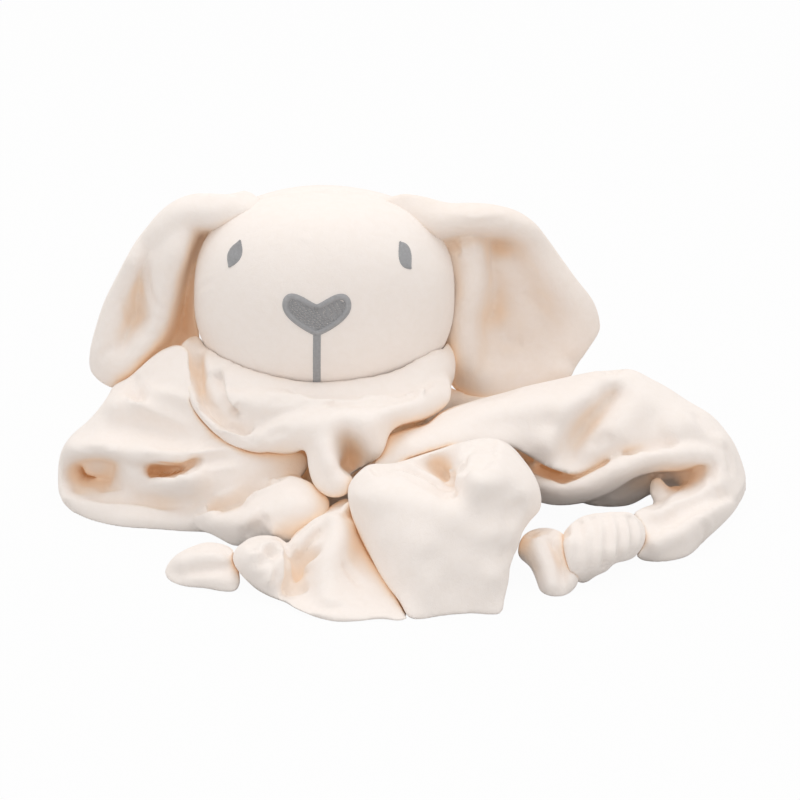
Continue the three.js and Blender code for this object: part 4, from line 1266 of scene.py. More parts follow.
# What the photograph shows of each fold. The solid behind it keeps the rest of its form.
RELIEFS: dict[str, Relief] = {
    "left_panel": Relief((
        (113, 386), (105, 402), (88, 421), (71, 438), (61, 453), (58, 475), (60, 496), (74, 512), (95, 522),
        (122, 529), (164, 531), (198, 533), (215, 530), (240, 512), (262, 496), (288, 484), (304, 474),
        (308, 458), (292, 448), (262, 446), (236, 441),
        (215, 428), (203, 412), (195, 392), (190, 370), (188, 350), (180, 345), (165, 349), (148, 361),
        (130, 377)), (
        ((105, 400, -22), (125, 383, -20), (150, 366, -20), (178, 350, -22)),
        ((88, 422, -28), (70, 440, -30), (61, 455, -32), (58, 475, -34), (60, 495, -36)),
        ((130, 400, -30), (160, 385, -30), (180, 375, -32)),
        ((115, 403, -34), (146, 398, -37), (177, 408, -42), (208, 424, -46), (235, 440, -50)),
        ((100, 425, -35), (140, 420, -37), (175, 426, -42), (205, 438, -48)),
        ((72, 448, -40), (100, 444, -46), (125, 448, -50), (150, 450, -52), (180, 452, -54),
         (210, 450, -56), (235, 452, -57)),
        ((80, 453, -42), (101, 451, -47), (122, 455, -52), (147, 456, -55), (174, 457, -57),
         (205, 455, -59)),
        ((84, 460, -16), (101, 459, -13), (117, 463, -14)),
        ((86, 476, -18), (108, 480, -21)),
        ((124, 468, -44), (128, 480, -46), (138, 490, -49)),
        ((132, 466, -48), (142, 468, -49), (145, 480, -50)),
        ((152, 466, -28), (166, 465, -31), (182, 462, -39), (196, 460, -48)),
        ((150, 478, -51), (175, 473, -55), (198, 466, -58), (225, 462, -60), (252, 461, -60),
         (280, 462, -58), (304, 464, -56)),
        ((165, 493, -55), (200, 494, -60), (230, 488, -64), (262, 482, -62), (290, 476, -60)),
        ((262, 450, -54), (290, 452, -54)),
        ((78, 489, -34), (105, 495, -42), (129, 497, -46), (150, 500, -49), (177, 505, -54),
         (195, 509, -58)),
        ((66, 496, -42), (80, 504, -47), (100, 509, -53), (130, 514, -58), (160, 519, -62),
         (190, 522, -66)),
        ((74, 511, -42), (95, 521, -52), (122, 528, -59), (164, 530, -62), (198, 532, -65)),
    ), deep=14.0),
    "left_front_bulge": Relief((
        (191, 508), (195, 526), (213, 536), (236, 546), (252, 542), (262, 541), (290, 543), (318, 530),
        (330, 505), (324, 492), (307, 480), (289, 475), (275, 480), (262, 489), (245, 500), (220, 507)), (
        ((192, 508, -58), (196, 527, -68), (214, 535, -73), (236, 544, -82)),
        ((220, 508, -64), (244, 501, -68), (264, 488, -70), (289, 476, -72), (308, 481, -76),
         (323, 493, -80)),
        ((205, 518, -72), (235, 517, -82), (262, 509, -88), (288, 500, -91), (310, 505, -92)),
        ((240, 538, -86), (262, 536, -90), (288, 540, -93), (315, 530, -93)),
    ), deep=14.0),
    "collar_upper_roll": Relief((
        (190, 338), (199, 337), (203, 352), (212, 368), (226, 381), (243, 388), (275, 391), (324, 392),
        (380, 392), (412, 388), (428, 378), (431, 384), (418, 395), (382, 403), (347, 406), (316, 411),
        (288, 416), (268, 423), (250, 432), (240, 435), (222, 429), (208, 418), (199, 396), (194, 374),
        (189, 350)), (
        ((197, 340, -8), (207, 362, -22), (222, 378, -34), (243, 388, -42), (275, 391, -48),
         (324, 393, -51), (380, 392, -47), (412, 388, -40), (427, 379, -32)),
        ((197, 350, -16), (200, 375, -28), (206, 396, -38), (216, 413, -46), (232, 424, -52),
         (244, 426, -55)),
        ((209, 364, -20), (210, 381, -27), (216, 401, -36), (227, 412, -43), (240, 416, -46)),
        ((216, 375, -34), (222, 392, -42), (236, 404, -50), (260, 405, -56), (290, 401, -59),
         (324, 400, -61), (365, 398, -59), (400, 394, -53), (420, 386, -44)),
        ((192, 352, -10), (195, 374, -22), (200, 395, -32), (209, 415, -42), (222, 426, -48),
         (240, 432, -52), (252, 428, -54), (268, 419, -55), (288, 412, -57), (316, 407, -59),
         (347, 403, -59), (382, 400, -57), (415, 392, -48)),
    ), deep=14.0),
    "collar_lower_roll": Relief((
        (180, 348), (190, 339), (196, 352), (198, 374), (204, 395), (212, 412), (224, 424), (240, 431),
        (254, 428), (264, 438), (266, 452), (250, 452), (236, 447), (218, 437), (204, 423), (189, 402),
        (179, 382), (175, 362)), (
        ((178, 350, -12), (177, 365, -20), (181, 382, -28), (191, 402, -38), (206, 422, -46),
         (220, 436, -52), (238, 446, -57), (260, 451, -60)),
        ((186, 348, -16), (187, 370, -28), (193, 390, -38), (203, 410, -47), (218, 426, -54),
         (238, 438, -60), (260, 440, -63)),
        ((193, 350, -10), (196, 374, -20), (201, 396, -31), (210, 414, -41), (224, 426, -49),
         (242, 433, -55)),
    ), deep=14.0),
    "front_swag": Relief((
        (240, 434), (254, 428), (268, 419), (288, 411), (316, 406), (347, 402), (382, 399), (418, 391),
        (430, 382), (440, 372), (448, 378), (450, 400), (438, 412), (422, 420), (409, 423), (395, 428),
        (388, 436), (385, 446), (380, 456), (373, 462), (362, 468), (352, 474), (354, 484), (345, 495),
        (330, 497), (316, 487), (309, 470), (305, 448), (298, 452), (289, 454), (267, 452), (245, 448)), (
        ((240, 434, -52), (254, 428, -53), (268, 419, -54), (288, 411, -56), (316, 406, -58),
         (347, 402, -58), (382, 399, -55), (418, 391, -46), (432, 382, -36)),
        ((250, 440, -62), (270, 436, -66), (290, 428, -69), (316, 420, -72), (345, 416, -74),
         (375, 412, -72), (405, 404, -64), (430, 396, -52), (442, 390, -42)),
        ((245, 448, -58), (268, 452, -62), (290, 454, -66), (303, 449, -70)),
        ((318, 432, -76), (320, 450, -80), (324, 470, -85), (334, 485, -90)),
        ((306, 450, -70), (309, 470, -76), (317, 487, -83), (330, 496, -88)),
        ((346, 438, -66), (343, 449, -62), (343, 460, -60), (352, 465, -62)),
        ((331, 440, -78), (332, 455, -82), (336, 468, -85)),
        ((356, 428, -76), (366, 440, -76), (374, 454, -76)),
        ((345, 476, -85), (350, 484, -88)),
        ((393, 427, -66), (408, 423, -62), (424, 420, -56), (440, 411, -46)),
    ), deep=14.0),
    "right_panel": Relief((
        (373, 463), (378, 450), (386, 438), (396, 434), (410, 429), (427, 424), (440, 413), (472, 401),
        (511, 390), (547, 381), (582, 373), (611, 370), (632, 371), (653, 381), (682, 397), (710, 415),
        (724, 429), (735, 445), (742, 463), (746, 481), (735, 498), (720, 480), (714, 447), (689, 443),
        (653, 446), (618, 453), (594, 466), (575, 474), (561, 471), (545, 466), (530, 457), (511, 447),
        (490, 448), (460, 455), (430, 462), (400, 468), (378, 470)), (
        ((396, 434, -60), (440, 413, -50), (472, 402, -43), (511, 391, -36), (547, 382, -31),
         (582, 375, -27), (611, 372, -25), (632, 373, -25), (653, 383, -25), (682, 399, -27),
         (710, 417, -32), (733, 446, -38), (744, 478, -44)),
        ((450, 422, -60), (490, 410, -55), (530, 400, -48), (565, 392, -42), (598, 386, -38),
         (628, 384, -36), (655, 395, -37), (685, 412, -40), (708, 430, -44)),
        ((374, 464, -76), (400, 464, -78), (430, 458, -76), (460, 450, -74), (490, 444, -70),
         (511, 444, -66), (530, 455, -62), (545, 464, -61), (561, 469, -61)),
        ((410, 444, -74), (440, 436, -70), (480, 428, -64), (520, 424, -58), (550, 425, -54)),
        ((588, 398, -46), (573, 413, -51), (559, 430, -56), (550, 450, -61)),
        ((614, 389, -32), (599, 405, -36), (585, 420, -39), (574, 434, -43), (566, 450, -49),
         (563, 464, -57)),
        ((635, 395, -41), (618, 412, -46), (603, 428, -50), (592, 442, -52), (585, 455, -55)),
        ((660, 410, -45), (645, 428, -50), (630, 442, -55)),
        ((690, 425, -48), (680, 438, -53)),
        ((594, 463, -56), (618, 451, -54), (653, 444, -52), (689, 442, -50), (714, 446, -48)),
        ((722, 440, -46), (730, 460, -48), (738, 480, -50)),
    ), deep=14.0),
    "right_hem_roll": Relief((
        (527, 460), (545, 468), (561, 472), (580, 470), (594, 462), (618, 450), (653, 442), (689, 439),
        (714, 443), (722, 456), (716, 468), (700, 464), (690, 468), (680, 471), (660, 471), (646, 473),
        (632, 478), (611, 492), (586, 502), (557, 505), (541, 502), (528, 495)), (
        ((528, 464, -46), (561, 476, -52), (594, 466, -53), (618, 454, -53), (653, 446, -52),
         (689, 443, -51), (712, 448, -48)),
        ((535, 478, -60), (560, 485, -64), (590, 478, -65), (615, 466, -64), (645, 455, -62),
         (680, 451, -60), (705, 454, -56)),
        ((540, 492, -62), (562, 497, -65), (590, 491, -66), (615, 479, -64), (645, 466, -61),
         (680, 462, -59)),
        ((541, 502, -50), (557, 505, -51), (586, 502, -52), (611, 492, -52), (632, 478, -50),
         (660, 471, -50), (690, 467, -50)),
    ), deep=14.0),
    "right_floor_fold": Relief((
        (578, 500), (600, 494), (620, 482), (640, 472), (650, 476), (654, 490), (644, 498), (630, 505),
        (615, 507), (596, 506)), (
        ((600, 494, -36), (620, 484, -36), (642, 474, -34)),
        ((612, 498, -42), (635, 490, -40)),
        ((596, 505, -38), (617, 506, -38), (642, 499, -38)),
    ), deep=14.0),
    "right_corner_fold": Relief((
        (634, 516), (640, 510), (656, 503), (650, 495), (652, 480), (660, 478), (668, 487), (684, 482),
        (692, 470), (700, 464), (714, 462), (726, 452), (738, 462), (746, 481), (742, 499), (732, 513),
        (721, 524), (703, 541), (689, 556), (667, 562), (646, 561), (636, 556), (641, 545), (645, 537),
        (640, 526)), (
        ((745, 483, -34), (742, 499, -36), (731, 514, -48), (720, 525, -60), (703, 541, -76),
         (689, 555, -91), (667, 561, -97), (646, 560, -96)),
        ((655, 512, -87), (672, 503, -81), (690, 496, -74), (712, 490, -66), (730, 488, -56)),
        ((648, 530, -92), (667, 521, -85), (689, 506, -76), (712, 499, -67), (725, 496, -58)),
        ((655, 545, -104), (675, 535, -98), (695, 520, -90), (712, 508, -80), (728, 503, -66)),
        ((700, 466, -44), (714, 464, -46), (728, 460, -44), (738, 470, -46)),
        ((690, 476, -40), (684, 486, -48)),
        ((656, 485, -56), (664, 492, -62), (656, 500, -66)),
        ((637, 516, -88), (642, 527, -94), (645, 540, -100), (640, 552, -102)),
        ((662, 550, -99), (676, 544, -96)),
    ), deep=14.0),
    "right_knot": Relief((
        (564, 534), (572, 524), (582, 517), (596, 514), (618, 512), (630, 513), (640, 521), (645, 531),
        (644, 543), (639, 552), (633, 558), (625, 561), (614, 564), (607, 571), (596, 576), (584, 583),
        (576, 580), (566, 560)), (
        ((564, 534, -112), (572, 525, -110), (582, 518, -108), (596, 515, -107), (618, 513, -103),
         (630, 514, -101), (640, 522, -98), (645, 532, -98)),
        ((568, 540, -122), (600, 530, -118), (625, 527, -112), (638, 529, -106)),
        ((572, 554, -127), (600, 546, -124), (625, 541, -118), (640, 540, -110)),
        ((578, 568, -127), (605, 560, -123), (630, 551, -114)),
        ((580, 581, -118), (596, 575, -116), (607, 570, -114), (614, 563, -111), (625, 560, -108),
         (636, 555, -104)),
    ), deep=14.0),
    "right_knot_tail": Relief((
        (519, 543), (525, 534), (537, 529), (551, 529), (563, 534), (573, 545), (580, 560), (580, 574),
        (575, 587), (565, 596), (553, 597), (541, 592), (536, 580), (530, 567), (519, 556)), (
        ((521, 545, -114), (537, 531, -108), (551, 531, -106), (563, 536, -108), (573, 547, -110),
         (579, 560, -114), (579, 574, -120), (574, 586, -126), (564, 595, -131), (553, 596, -132),
         (542, 591, -128), (537, 580, -124), (531, 567, -118), (521, 556, -114)),
        ((535, 540, -119), (545, 556, -125), (550, 572, -130), (552, 586, -134)),
        ((548, 538, -114), (556, 554, -119), (562, 572, -125), (564, 588, -130)),
        ((560, 545, -118), (568, 558, -122), (572, 572, -127), (570, 584, -131)),
    ), deep=8.0),
    "front_flap": Relief((
        (349, 487), (356, 475), (369, 465), (387, 464), (400, 462), (436, 451), (462, 442), (489, 438),
        (507, 444), (524, 462), (536, 478), (541, 496), (540, 509), (529, 522), (522, 533), (518, 547),
        (511, 562), (509, 580), (504, 598), (500, 614), (471, 613), (444, 616), (418, 620), (408, 617),
        (400, 602), (387, 584), (373, 562), (360, 536), (351, 509)), (
        ((350, 488, -100), (356, 477, -98), (370, 467, -97), (387, 466, -98), (407, 470, -101),
         (427, 479, -106), (444, 489, -112)),
        ((358, 494, -116), (375, 484, -117), (395, 484, -119), (415, 489, -123), (432, 496, -128),
         (447, 502, -131)),
        ((412, 463, -88), (426, 467, -86), (438, 473, -84), (449, 481, -86)),
        ((446, 465, -82), (453, 473, -84)),
        ((405, 461, -84), (436, 452, -86), (462, 443, -88), (489, 439, -90), (507, 445, -92),
         (524, 462, -96), (535, 478, -100), (540, 496, -104), (539, 509, -108)),
        ((463, 490, -126), (463, 471, -116), (470, 457, -107), (488, 450, -104), (506, 460, -107),
         (518, 475, -114), (526, 492, -120)),
        ((380, 513, -128), (420, 518, -137), (460, 518, -139), (497, 508, -133), (522, 508, -123)),
        ((385, 540, -134), (420, 545, -144), (455, 545, -142), (490, 540, -142), (511, 538, -132)),
        ((400, 575, -142), (430, 580, -149), (460, 580, -146), (490, 578, -147)),
        ((351, 509, -106), (360, 535, -115), (373, 562, -126), (387, 584, -136), (400, 602, -146),
         (409, 616, -153)),
        ((418, 619, -154), (444, 615, -151), (471, 612, -149), (499, 613, -149)),
        ((504, 598, -143), (509, 580, -136), (512, 562, -130), (518, 547, -124), (529, 523, -114)),
    ), deep=14.0),
    "front_fan": Relief((
        (287, 549), (297, 532), (311, 518), (329, 507), (347, 498), (365, 510), (380, 550), (400, 590),
        (414, 612), (404, 620), (382, 619), (356, 621), (333, 620), (307, 614), (287, 603), (284, 589),
        (289, 571)), (
        ((350, 505, -97), (362, 535, -107), (375, 562, -119), (388, 584, -131), (400, 602, -142),
         (410, 614, -150)),
        ((288, 551, -112), (290, 571, -119), (286, 589, -129), (288, 602, -141)),
        ((307, 613, -151), (333, 619, -155), (356, 620, -156), (382, 618, -155)),
        ((298, 533, -104), (312, 519, -98), (330, 508, -94), (346, 501, -92)),
        ((298, 550, -117), (310, 530, -113), (328, 516, -108), (345, 512, -103)),
        ((322, 524, -104), (312, 542, -110), (304, 562, -115), (299, 580, -122)),
        ((333, 534, -119), (322, 555, -126), (316, 580, -134), (324, 602, -147)),
        ((352, 555, -120), (348, 580, -133), (350, 604, -147)),
        ((294, 590, -130), (305, 595, -135), (316, 600, -142)),
    ), deep=14.0),
    "left_knot": Relief((
        (233, 558), (238, 547), (251, 537), (271, 535), (284, 542), (290, 552), (290, 571), (288, 587),
        (290, 602), (271, 598), (255, 587), (241, 573)), (
        ((234, 558, -120), (239, 547, -116), (252, 538, -114), (271, 537, -112), (285, 543, -112),
         (290, 553, -113), (290, 571, -119), (288, 587, -128), (288, 601, -141), (271, 597, -138),
         (256, 586, -130), (243, 573, -123)),
        ((273, 553, -123),),
        ((252, 550, -130), (247, 560, -132), (258, 574, -137), (270, 585, -139), (280, 570, -134),
         (283, 552, -124), (268, 543, -126)),
        ((262, 556, -133), (268, 568, -136)),
    ), deep=16.0),
    "left_knot_tail": Relief((
        (165, 572), (173, 558), (191, 547), (209, 542), (231, 548), (237, 560), (240, 575), (240, 584),
        (236, 591), (226, 592), (204, 588), (182, 586), (169, 580)), (
        ((166, 572, -112), (174, 559, -110), (191, 548, -108), (209, 543, -106), (230, 549, -110),
         (237, 562, -116), (241, 577, -122), (242, 590, -128), (226, 591, -128), (204, 587, -124),
         (182, 585, -121), (170, 579, -116)),
        ((183, 563, -119), (205, 557, -121), (225, 560, -122)),
        ((175, 575, -116), (190, 574, -119), (206, 572, -121), (224, 566, -121)),
        ((190, 581, -124), (212, 580, -127), (232, 580, -127)),
    ), deep=8.0),
}


# What moves, and the shapes that give way to it


@dataclass(frozen=True)
class Hinge:
    """Where a body turns, in millimetres, and how far."""

    pivot: Point
    axis: Point
    degrees: float
    parent: str = ""

    def turned(self, points: np.ndarray, share: float) -> np.ndarray:
        """The points after a share of the whole turn.

        Args:
            points: The points at rest, one per row.
            share: The share, from 0 to 1.

        Returns:
            The turned points.
        """
        angle = math.radians(self.degrees) * share
        axis, pivot = np.array(self.axis), np.array(self.pivot)
        arm = points - pivot
        along = np.outer(arm @ axis, axis) * (1 - math.cos(angle))
        return pivot + arm * math.cos(angle) + np.cross(axis, arm) * math.sin(angle) + along


HINGES: dict[str, Hinge] = {
    "head": Hinge((0.0, 6.11, 40.0), (-1, 0, 0), 25.0),
    "left_ear": Hinge((-24.976, 3.008, 119.992), (0, 1, 0), 75.0, "head"),
    "right_ear": Hinge((24.976, 3.008, 119.992), (0, -1, 0), 75.0, "head"),
    "front_flap": Hinge((48.0, -84.0, 40.0), (-1, 0, 0), 60.0),
    "left_tail": Hinge((-30.0, -129.0, 8.5), (0, 0, 1), 50.0),
    "right_tail": Hinge((105.0, -115.0, 8.0), (0, 0, 1), 40.0),
}


def lathe(profile: Sequence[Pixel], sides: int = 64) -> Skin:
    """A closed shape turned about the Z axis.

    Args:
        profile: Radii and heights in millimetres, from a point on the axis to another.
        sides: How many columns go round.

    Returns:
        The points and faces.
    """
    points: list[Point] = [(0.0, 0.0, profile[0][1])]
    for radius, height in profile[1:-1]:
        for side in range(sides):
            angle = side / sides * 2 * HALF_TURN
            points.append((radius * math.cos(angle), radius * math.sin(angle), height))
    points.append((0.0, 0.0, profile[-1][1]))
    last = len(points) - 1
    faces: list[Face] = []
    for side in range(sides):
        after = (side + 1) % sides
        faces.append((0, 1 + after, 1 + side))
        for low in range(1, last - sides, sides):
            faces.append((low + side, low + after, low + sides + after, low + sides + side))
        faces.append((last, last - sides + side, last - sides + after))
    return np.array(points), faces


@dataclass(frozen=True)
class HeadForm:
    """The stuffed head: fuller than an ellipsoid. Sizes in millimetres."""

    width: float = 112.0
    depth: float = 94.0
    height: float = 88.0
    fullness: float = 2.5
    centre: float = 84.0
    seam: float = 4.7
    rings: int = 40

    def skin(self, grow: float = 0.0) -> Skin:
        """The head's closed skin, moved out by grow.

        Args:
            grow: How far it is moved out, in millimetres.

        Returns:
            The points and faces.
        """
        profile = []
        for ring in range(self.rings + 1):
            lean = -math.cos(ring / self.rings * HALF_TURN)
            wide = (1 - min(1.0, abs(lean)) ** self.fullness) ** (1 / self.fullness)
            profile.append(((self.width / 2 + grow) * wide, (self.height / 2 + grow) * lean))
        points, faces = lathe(profile)
        points[:, 1] *= (self.depth / 2 + grow) / (self.width / 2 + grow)
        points[:, 2] += self.centre
        return points, faces


HEAD = HeadForm()
MOUND_RADIUS, MOUND_HEIGHT = 56.0, 32.0


def mound_skin(grow: float = 0.0) -> Skin:
    """The middle of the square, heaped under the neck, and moved out by grow."""
    shares = (
        (0, 0), (1, 0), (0.985, 0.2), (0.94, 0.4), (0.85, 0.6), (0.72, 0.78), (0.56, 0.92), (0.4, 1), (0, 1))
    return lathe([
        (MOUND_RADIUS * out + (grow if out else 0), MOUND_HEIGHT * rise + grow) for out, rise in shares])


def neck_skin(grow: float = 0.0) -> Skin:
    """The gathered neck, with a waist where it is tied, and moved out by grow."""
    rings = ((0, 25.6), (20.4, 25.6), (17.0, 34.5), (17.0, 37.5), (18.7, 40.0), (0, 40.0))
    return lathe([(out + (grow if out else 0), rise + (grow if rise > 35 else -grow)) for out, rise in rings])


def knot_fold(turns: int = 3, rows: int = 36, width: float = 0.285) -> Fold:
    """The right knot: the corner is wound round itself, so its turns show as rings on a barrel.

    Args:
        turns: How many turns show.
        rows: How many steps its route has.
        width: Its greatest width, as a share of the fold's unit.

    Returns:
        The fold.
    """
    start, end = np.array((1.36, -1.04, 0.125)), np.array((1.00, -1.19, 0.125))
    table = []
    for index in range(rows + 1):
        along = index / rows
        belly = math.sin(HALF_TURN * (0.12 + 0.76 * along))
        wide = width * belly**0.45 * (1 - 0.04 * math.cos(along * 2 * turns * HALF_TURN))
        table.append((*(start + (end - start) * along), wide, wide))
    return Fold(tuple(table), crowding=0.0)


class Ply(Enum):
    """The two layers of an ear."""

    OUTER = "outer"
    LINING = "lining"


@dataclass(frozen=True)
class EarForm:
    """An ear as the photograph shows it: two plies of cloth that lie to either side of one relief."""

    side: int
    outline: tuple[Pixel, ...]
    lines: tuple[tuple[Point, ...], ...]
    near: Ply
    seed: int
    ply: float = 3.0
    gap: float = 0.5
    pitch: float = 2.6

    def relief(self, ply: Ply) -> Relief:
        """One ply. The near one shows.

        Args:
            ply: Which of the two.

        Returns:
            The ply's relief.
        """
        far, close = self.gap / 2, self.ply + self.gap / 2
        front, back = (close, -far) if ply == self.near else (-far, close)
        return Relief(self.outline, self.lines, front, back, pitch=self.pitch)


LEFT_EAR = EarForm(-1, (
    (262, 204), (247, 191), (229, 194), (212, 193), (192, 194), (174, 201), (160, 212), (146, 229),
    (133, 247), (119, 272), (105, 301), (95, 329), (90, 352), (91, 369), (101, 381), (114, 388), (132, 388),
    (152, 380), (174, 373), (196, 368), (200, 345), (197, 320), (196, 290), (198, 265), (206, 246),
    (222, 229), (240, 216)), (
    ((262, 206, 2), (229, 197, 1), (192, 197, 1), (163, 211, 1), (146, 231, 1), (119, 273, 1), (97, 328, 1),
     (93, 356, 0), (103, 379, 0), (118, 386, 1)),
    ((250, 206, -2), (225, 208, -5), (200, 210, -6), (178, 214, -6), (162, 226, -5)),
    ((158, 228, -4), (147, 244, -3), (132, 270, -4), (119, 300, -4), (108, 330, -5), (104, 355, -5),
     (112, 374, -4)),
    ((214, 222, -4), (200, 220, -5), (188, 221, -6), (179, 228, -7)),
    ((214, 230, 8), (204, 229, 9), (196, 232, 8)),
    ((146, 246, 1), (138, 262, 3), (129, 292, 4), (124, 320, 4), (125, 345, 2)),
    ((148, 256, 0), (149, 278, 1), (150, 300, 1), (156, 322, -2)),
    ((177, 236, -8), (170, 250, -9), (164, 272, -9), (162, 295, -9), (159, 315, -8), (150, 335, -6)),
    ((186, 236, -6), (181, 253, -7), (174, 274, -7), (169, 296, -7), (164, 316, -7), (158, 334, -6),
     (146, 352, -5), (133, 368, -4)),
    ((191, 242, 8), (187, 256, 10), (180, 277, 11), (175, 298, 12), (170, 318, 12), (165, 337, 12),
     (153, 356, 11), (140, 372, 9)),
    ((205, 252, 11), (199, 275, 12), (197, 300, 12), (198, 335, 12), (198, 360, 12)),
    ((180, 345, 13), (165, 366, 13)),
    ((136, 386, 8), (152, 380, 10), (175, 371, 12)),
), Ply.OUTER, 31)
RIGHT_EAR = EarForm(1, (
    (378, 207), (385, 200), (403, 194), (424, 197), (448, 203), (472, 203), (496, 205), (517, 211),
    (535, 223), (550, 241), (562, 258), (577, 279), (592, 300), (599, 319), (600, 330), (590, 348),
    (577, 367), (566, 386), (540, 400), (510, 408), (485, 408), (469, 402), (457, 391), (448, 378),
    (444, 363), (444, 345), (448, 325), (450, 300), (450, 279), (442, 256), (434, 240), (412, 226),
    (392, 216)), (
    ((382, 204, 2), (403, 197, 2), (424, 200, 2), (448, 206, 1), (472, 206, 1), (496, 208, 1),
     (516, 214, 2), (533, 226, 3), (548, 243, 4), (561, 261, 5), (576, 282, 5), (590, 302, 5),
     (597, 320, 5), (597, 331, 5), (587, 348, 5), (574, 366, 3)),
    ((404, 208, -1), (430, 214, -5), (455, 216, -6), (480, 216, -6), (502, 218, -5), (522, 228, -3),
     (538, 242, 0)),
    ((438, 228, -6), (452, 224, -7), (470, 222, -7), (490, 222, -7), (506, 222, -6), (520, 227, -4),
     (531, 235, -2)),
    ((445, 236, 6), (461, 231, 8), (476, 229, 10), (490, 229, 11), (505, 230, 10), (517, 234, 8),
     (526, 241, 6)),
    ((545, 256, 1), (560, 278, 1), (574, 300, 1), (582, 320, 2), (580, 338, 2), (566, 358, 1)),
    ((500, 262, 12), (506, 285, 14), (512, 305, 14), (510, 325, 13)),
    ((528, 268, 8), (542, 290, 9), (552, 312, 9), (550, 330, 8)),
    ((482, 332, 12), (500, 338, 12), (520, 338, 11), (538, 334, 9)),
    ((484, 358, 5), (508, 362, 4), (532, 358, 4), (552, 350, 3)),
    ((472, 391, -2), (486, 396, -5), (510, 397, -7), (538, 388, -6), (562, 373, -3)),
    ((484, 376, -2), (508, 381, -3), (534, 374, -2)),
    ((468, 262, -2), (471, 282, -4), (467, 304, -4), (463, 326, -4), (464, 345, -4), (468, 364, -4)),
    ((473, 246, 0), (476, 262, -1), (478, 280, -1), (474, 302, -1), (469, 322, -1), (471, 340, -1)),
    ((479, 252, 8), (484, 270, 10), (486, 286, 12), (481, 306, 12), (477, 322, 12), (480, 336, 10)),
    ((450, 260, 4), (455, 282, 4), (453, 306, 4), (449, 332, 4), (446, 356, 4)),
    ((450, 374, 2), (460, 388, 1)),
), Ply.LINING, 37)

EARS = {"left_ear": LEFT_EAR, "right_ear": RIGHT_EAR}
EAR_PLIES = {Ply.OUTER: Finish.VELOUR, Ply.LINING: Finish.EAR_LINING}


def folded(name: str) -> Shape:
    """A fold's shape: its slab, with what the photograph shows of it in front.

    Args:
        name: The fold.

    Returns:
        A function that gives the fold's skin, moved out by a distance.
    """

    def skin(grow: float = 0.0) -> Skin:
        """The fold's skin, moved out by grow."""
        body = FOLDS[name].points(grow)
        return RELIEFS[name].points(grow, body) if name in RELIEFS else body

    return skin


def shapes() -> dict[str, tuple[str, Shape]]:
    """Every solid's shape with the body it belongs to, in the order in which they take their room.

    Returns:
        The body and the shape by the solid's name.
    """
    table: dict[str, tuple[str, Shape]] = {"head": ("head", HEAD.skin)}
    for name, ear in EARS.items():
        for ply in EAR_PLIES:
            table[f"{name}_{ply.value}"] = (name, ear.relief(ply).points)
    for name, body in (
            ("front_flap", "front_flap"), ("left_knot", "blanket"), ("right_knot", "blanket"),
            ("left_knot_tail", "left_tail"), ("right_knot_tail", "right_tail")):
        table[name] = (body, folded(name))
    for name in (
            "front_fan", "front_swag", "collar_lower_roll", "collar_upper_roll", "right_panel",
            "right_corner_fold", "right_hem_roll", "right_floor_fold", "left_front_bulge", "left_panel"):
        table[name] = ("blanket", folded(name))
    table["neck_gather"] = ("blanket", neck_skin)
    table["blanket_centre"] = ("blanket", mound_skin)
    for name in ("back_centre_fold", "back_left_fold", "back_right_fold"):
        table[name] = ("blanket", FOLDS[name].points)
    return table


class Tailor:
    """Joins shapes, lets them give way to others, and evens them out."""

    sweep = (1 / 3, 2 / 3, 1.0)
    gap = 0.3

    def __init__(self) -> None:
        """Takes the table of shapes."""
        self.shapes = shapes()
        self.order = list(self.shapes)
        self.skins: dict[tuple[str, float], Skin] = {}

    def before(self, name: str, but: Sequence[str] = ()) -> tuple[str, ...]:
        """The shapes that take their room before this one."""
        return tuple(other for other in self.order[: self.order.index(name)] if other not in but)

    def _skin(self, name: str, grow: float) -> Skin:
        """A shape's skin, made once.

        Args:
            name: The shape.
            grow: How far it is moved out, in millimetres.

        Returns:
            The points and faces.
        """
        if (name, grow) not in self.skins:
            shape = self.shapes[name][1] if name in self.shapes else FOLDS[name].points
            self.skins[name, grow] = shape(grow)
        return self.skins[name, grow]

    def _places(self, name: str, still: bool) -> list[Skin]:
        """A shape's grown skin.

        Args:
            name: The shape.
            still: Whether it is wanted only where it rests.

        Returns:
            Its skins at rest and, for a body that moves, along its swings.
        """
        body = self.shapes[name][0]
        places = [self._skin(name, self.gap if body in HINGES else 0.0)]
        while body in HINGES and body not in EARS and not still:
            hinge = HINGES[body]
            points, faces = FOLDS[name].points(self.gap) if name in FOLDS else places[0]
            places.extend((hinge.turned(points, share), faces) for share in self.sweep)
            body = hinge.parent
        return places

    def sew(self, name: str, parts: Sequence[str], cut_by: Sequence[str], voxel: float,
            still: Sequence[str] = ()) -> bpy.types.Mesh:
        """Joins parts into one cloth and cuts away what others take.

        Args:
            name: The new mesh's name.
            parts: The shapes to join.
            cut_by: The shapes that it gives way to.
            voxel: The grid it is evened out on, in millimetres.
            still: Those that it gives way to only where they rest.

        Returns:
            The mesh, in metres.
        """
        skins = [self._skin(part, 0.0) for part in parts]
        pieces = [solid_object(f"{name}_{index}", *skin) for index, skin in enumerate(skins)]
        low = np.min([points.min(0) for points, _ in skins], axis=0)
        high = np.max([points.max(0) for points, _ in skins], axis=0)
        cutters = []
        for other in cut_by:
            for points, faces in self._places(other, other in still):
                if (points.min(0) < high).all() and (points.max(0) > low).all():
                    cutters.append(solid_object(f"{name}_cut", points, faces))
        for helpers, operation in ((pieces[1:], "UNION"), (cutters, "DIFFERENCE")):
            for helper in helpers:
                cut(pieces[0], operation, helper)
        remesh(pieces[0], voxel)
        mesh = evaluated(pieces[0])
        discard(*pieces, *cutters)
        return keep_largest(mesh)


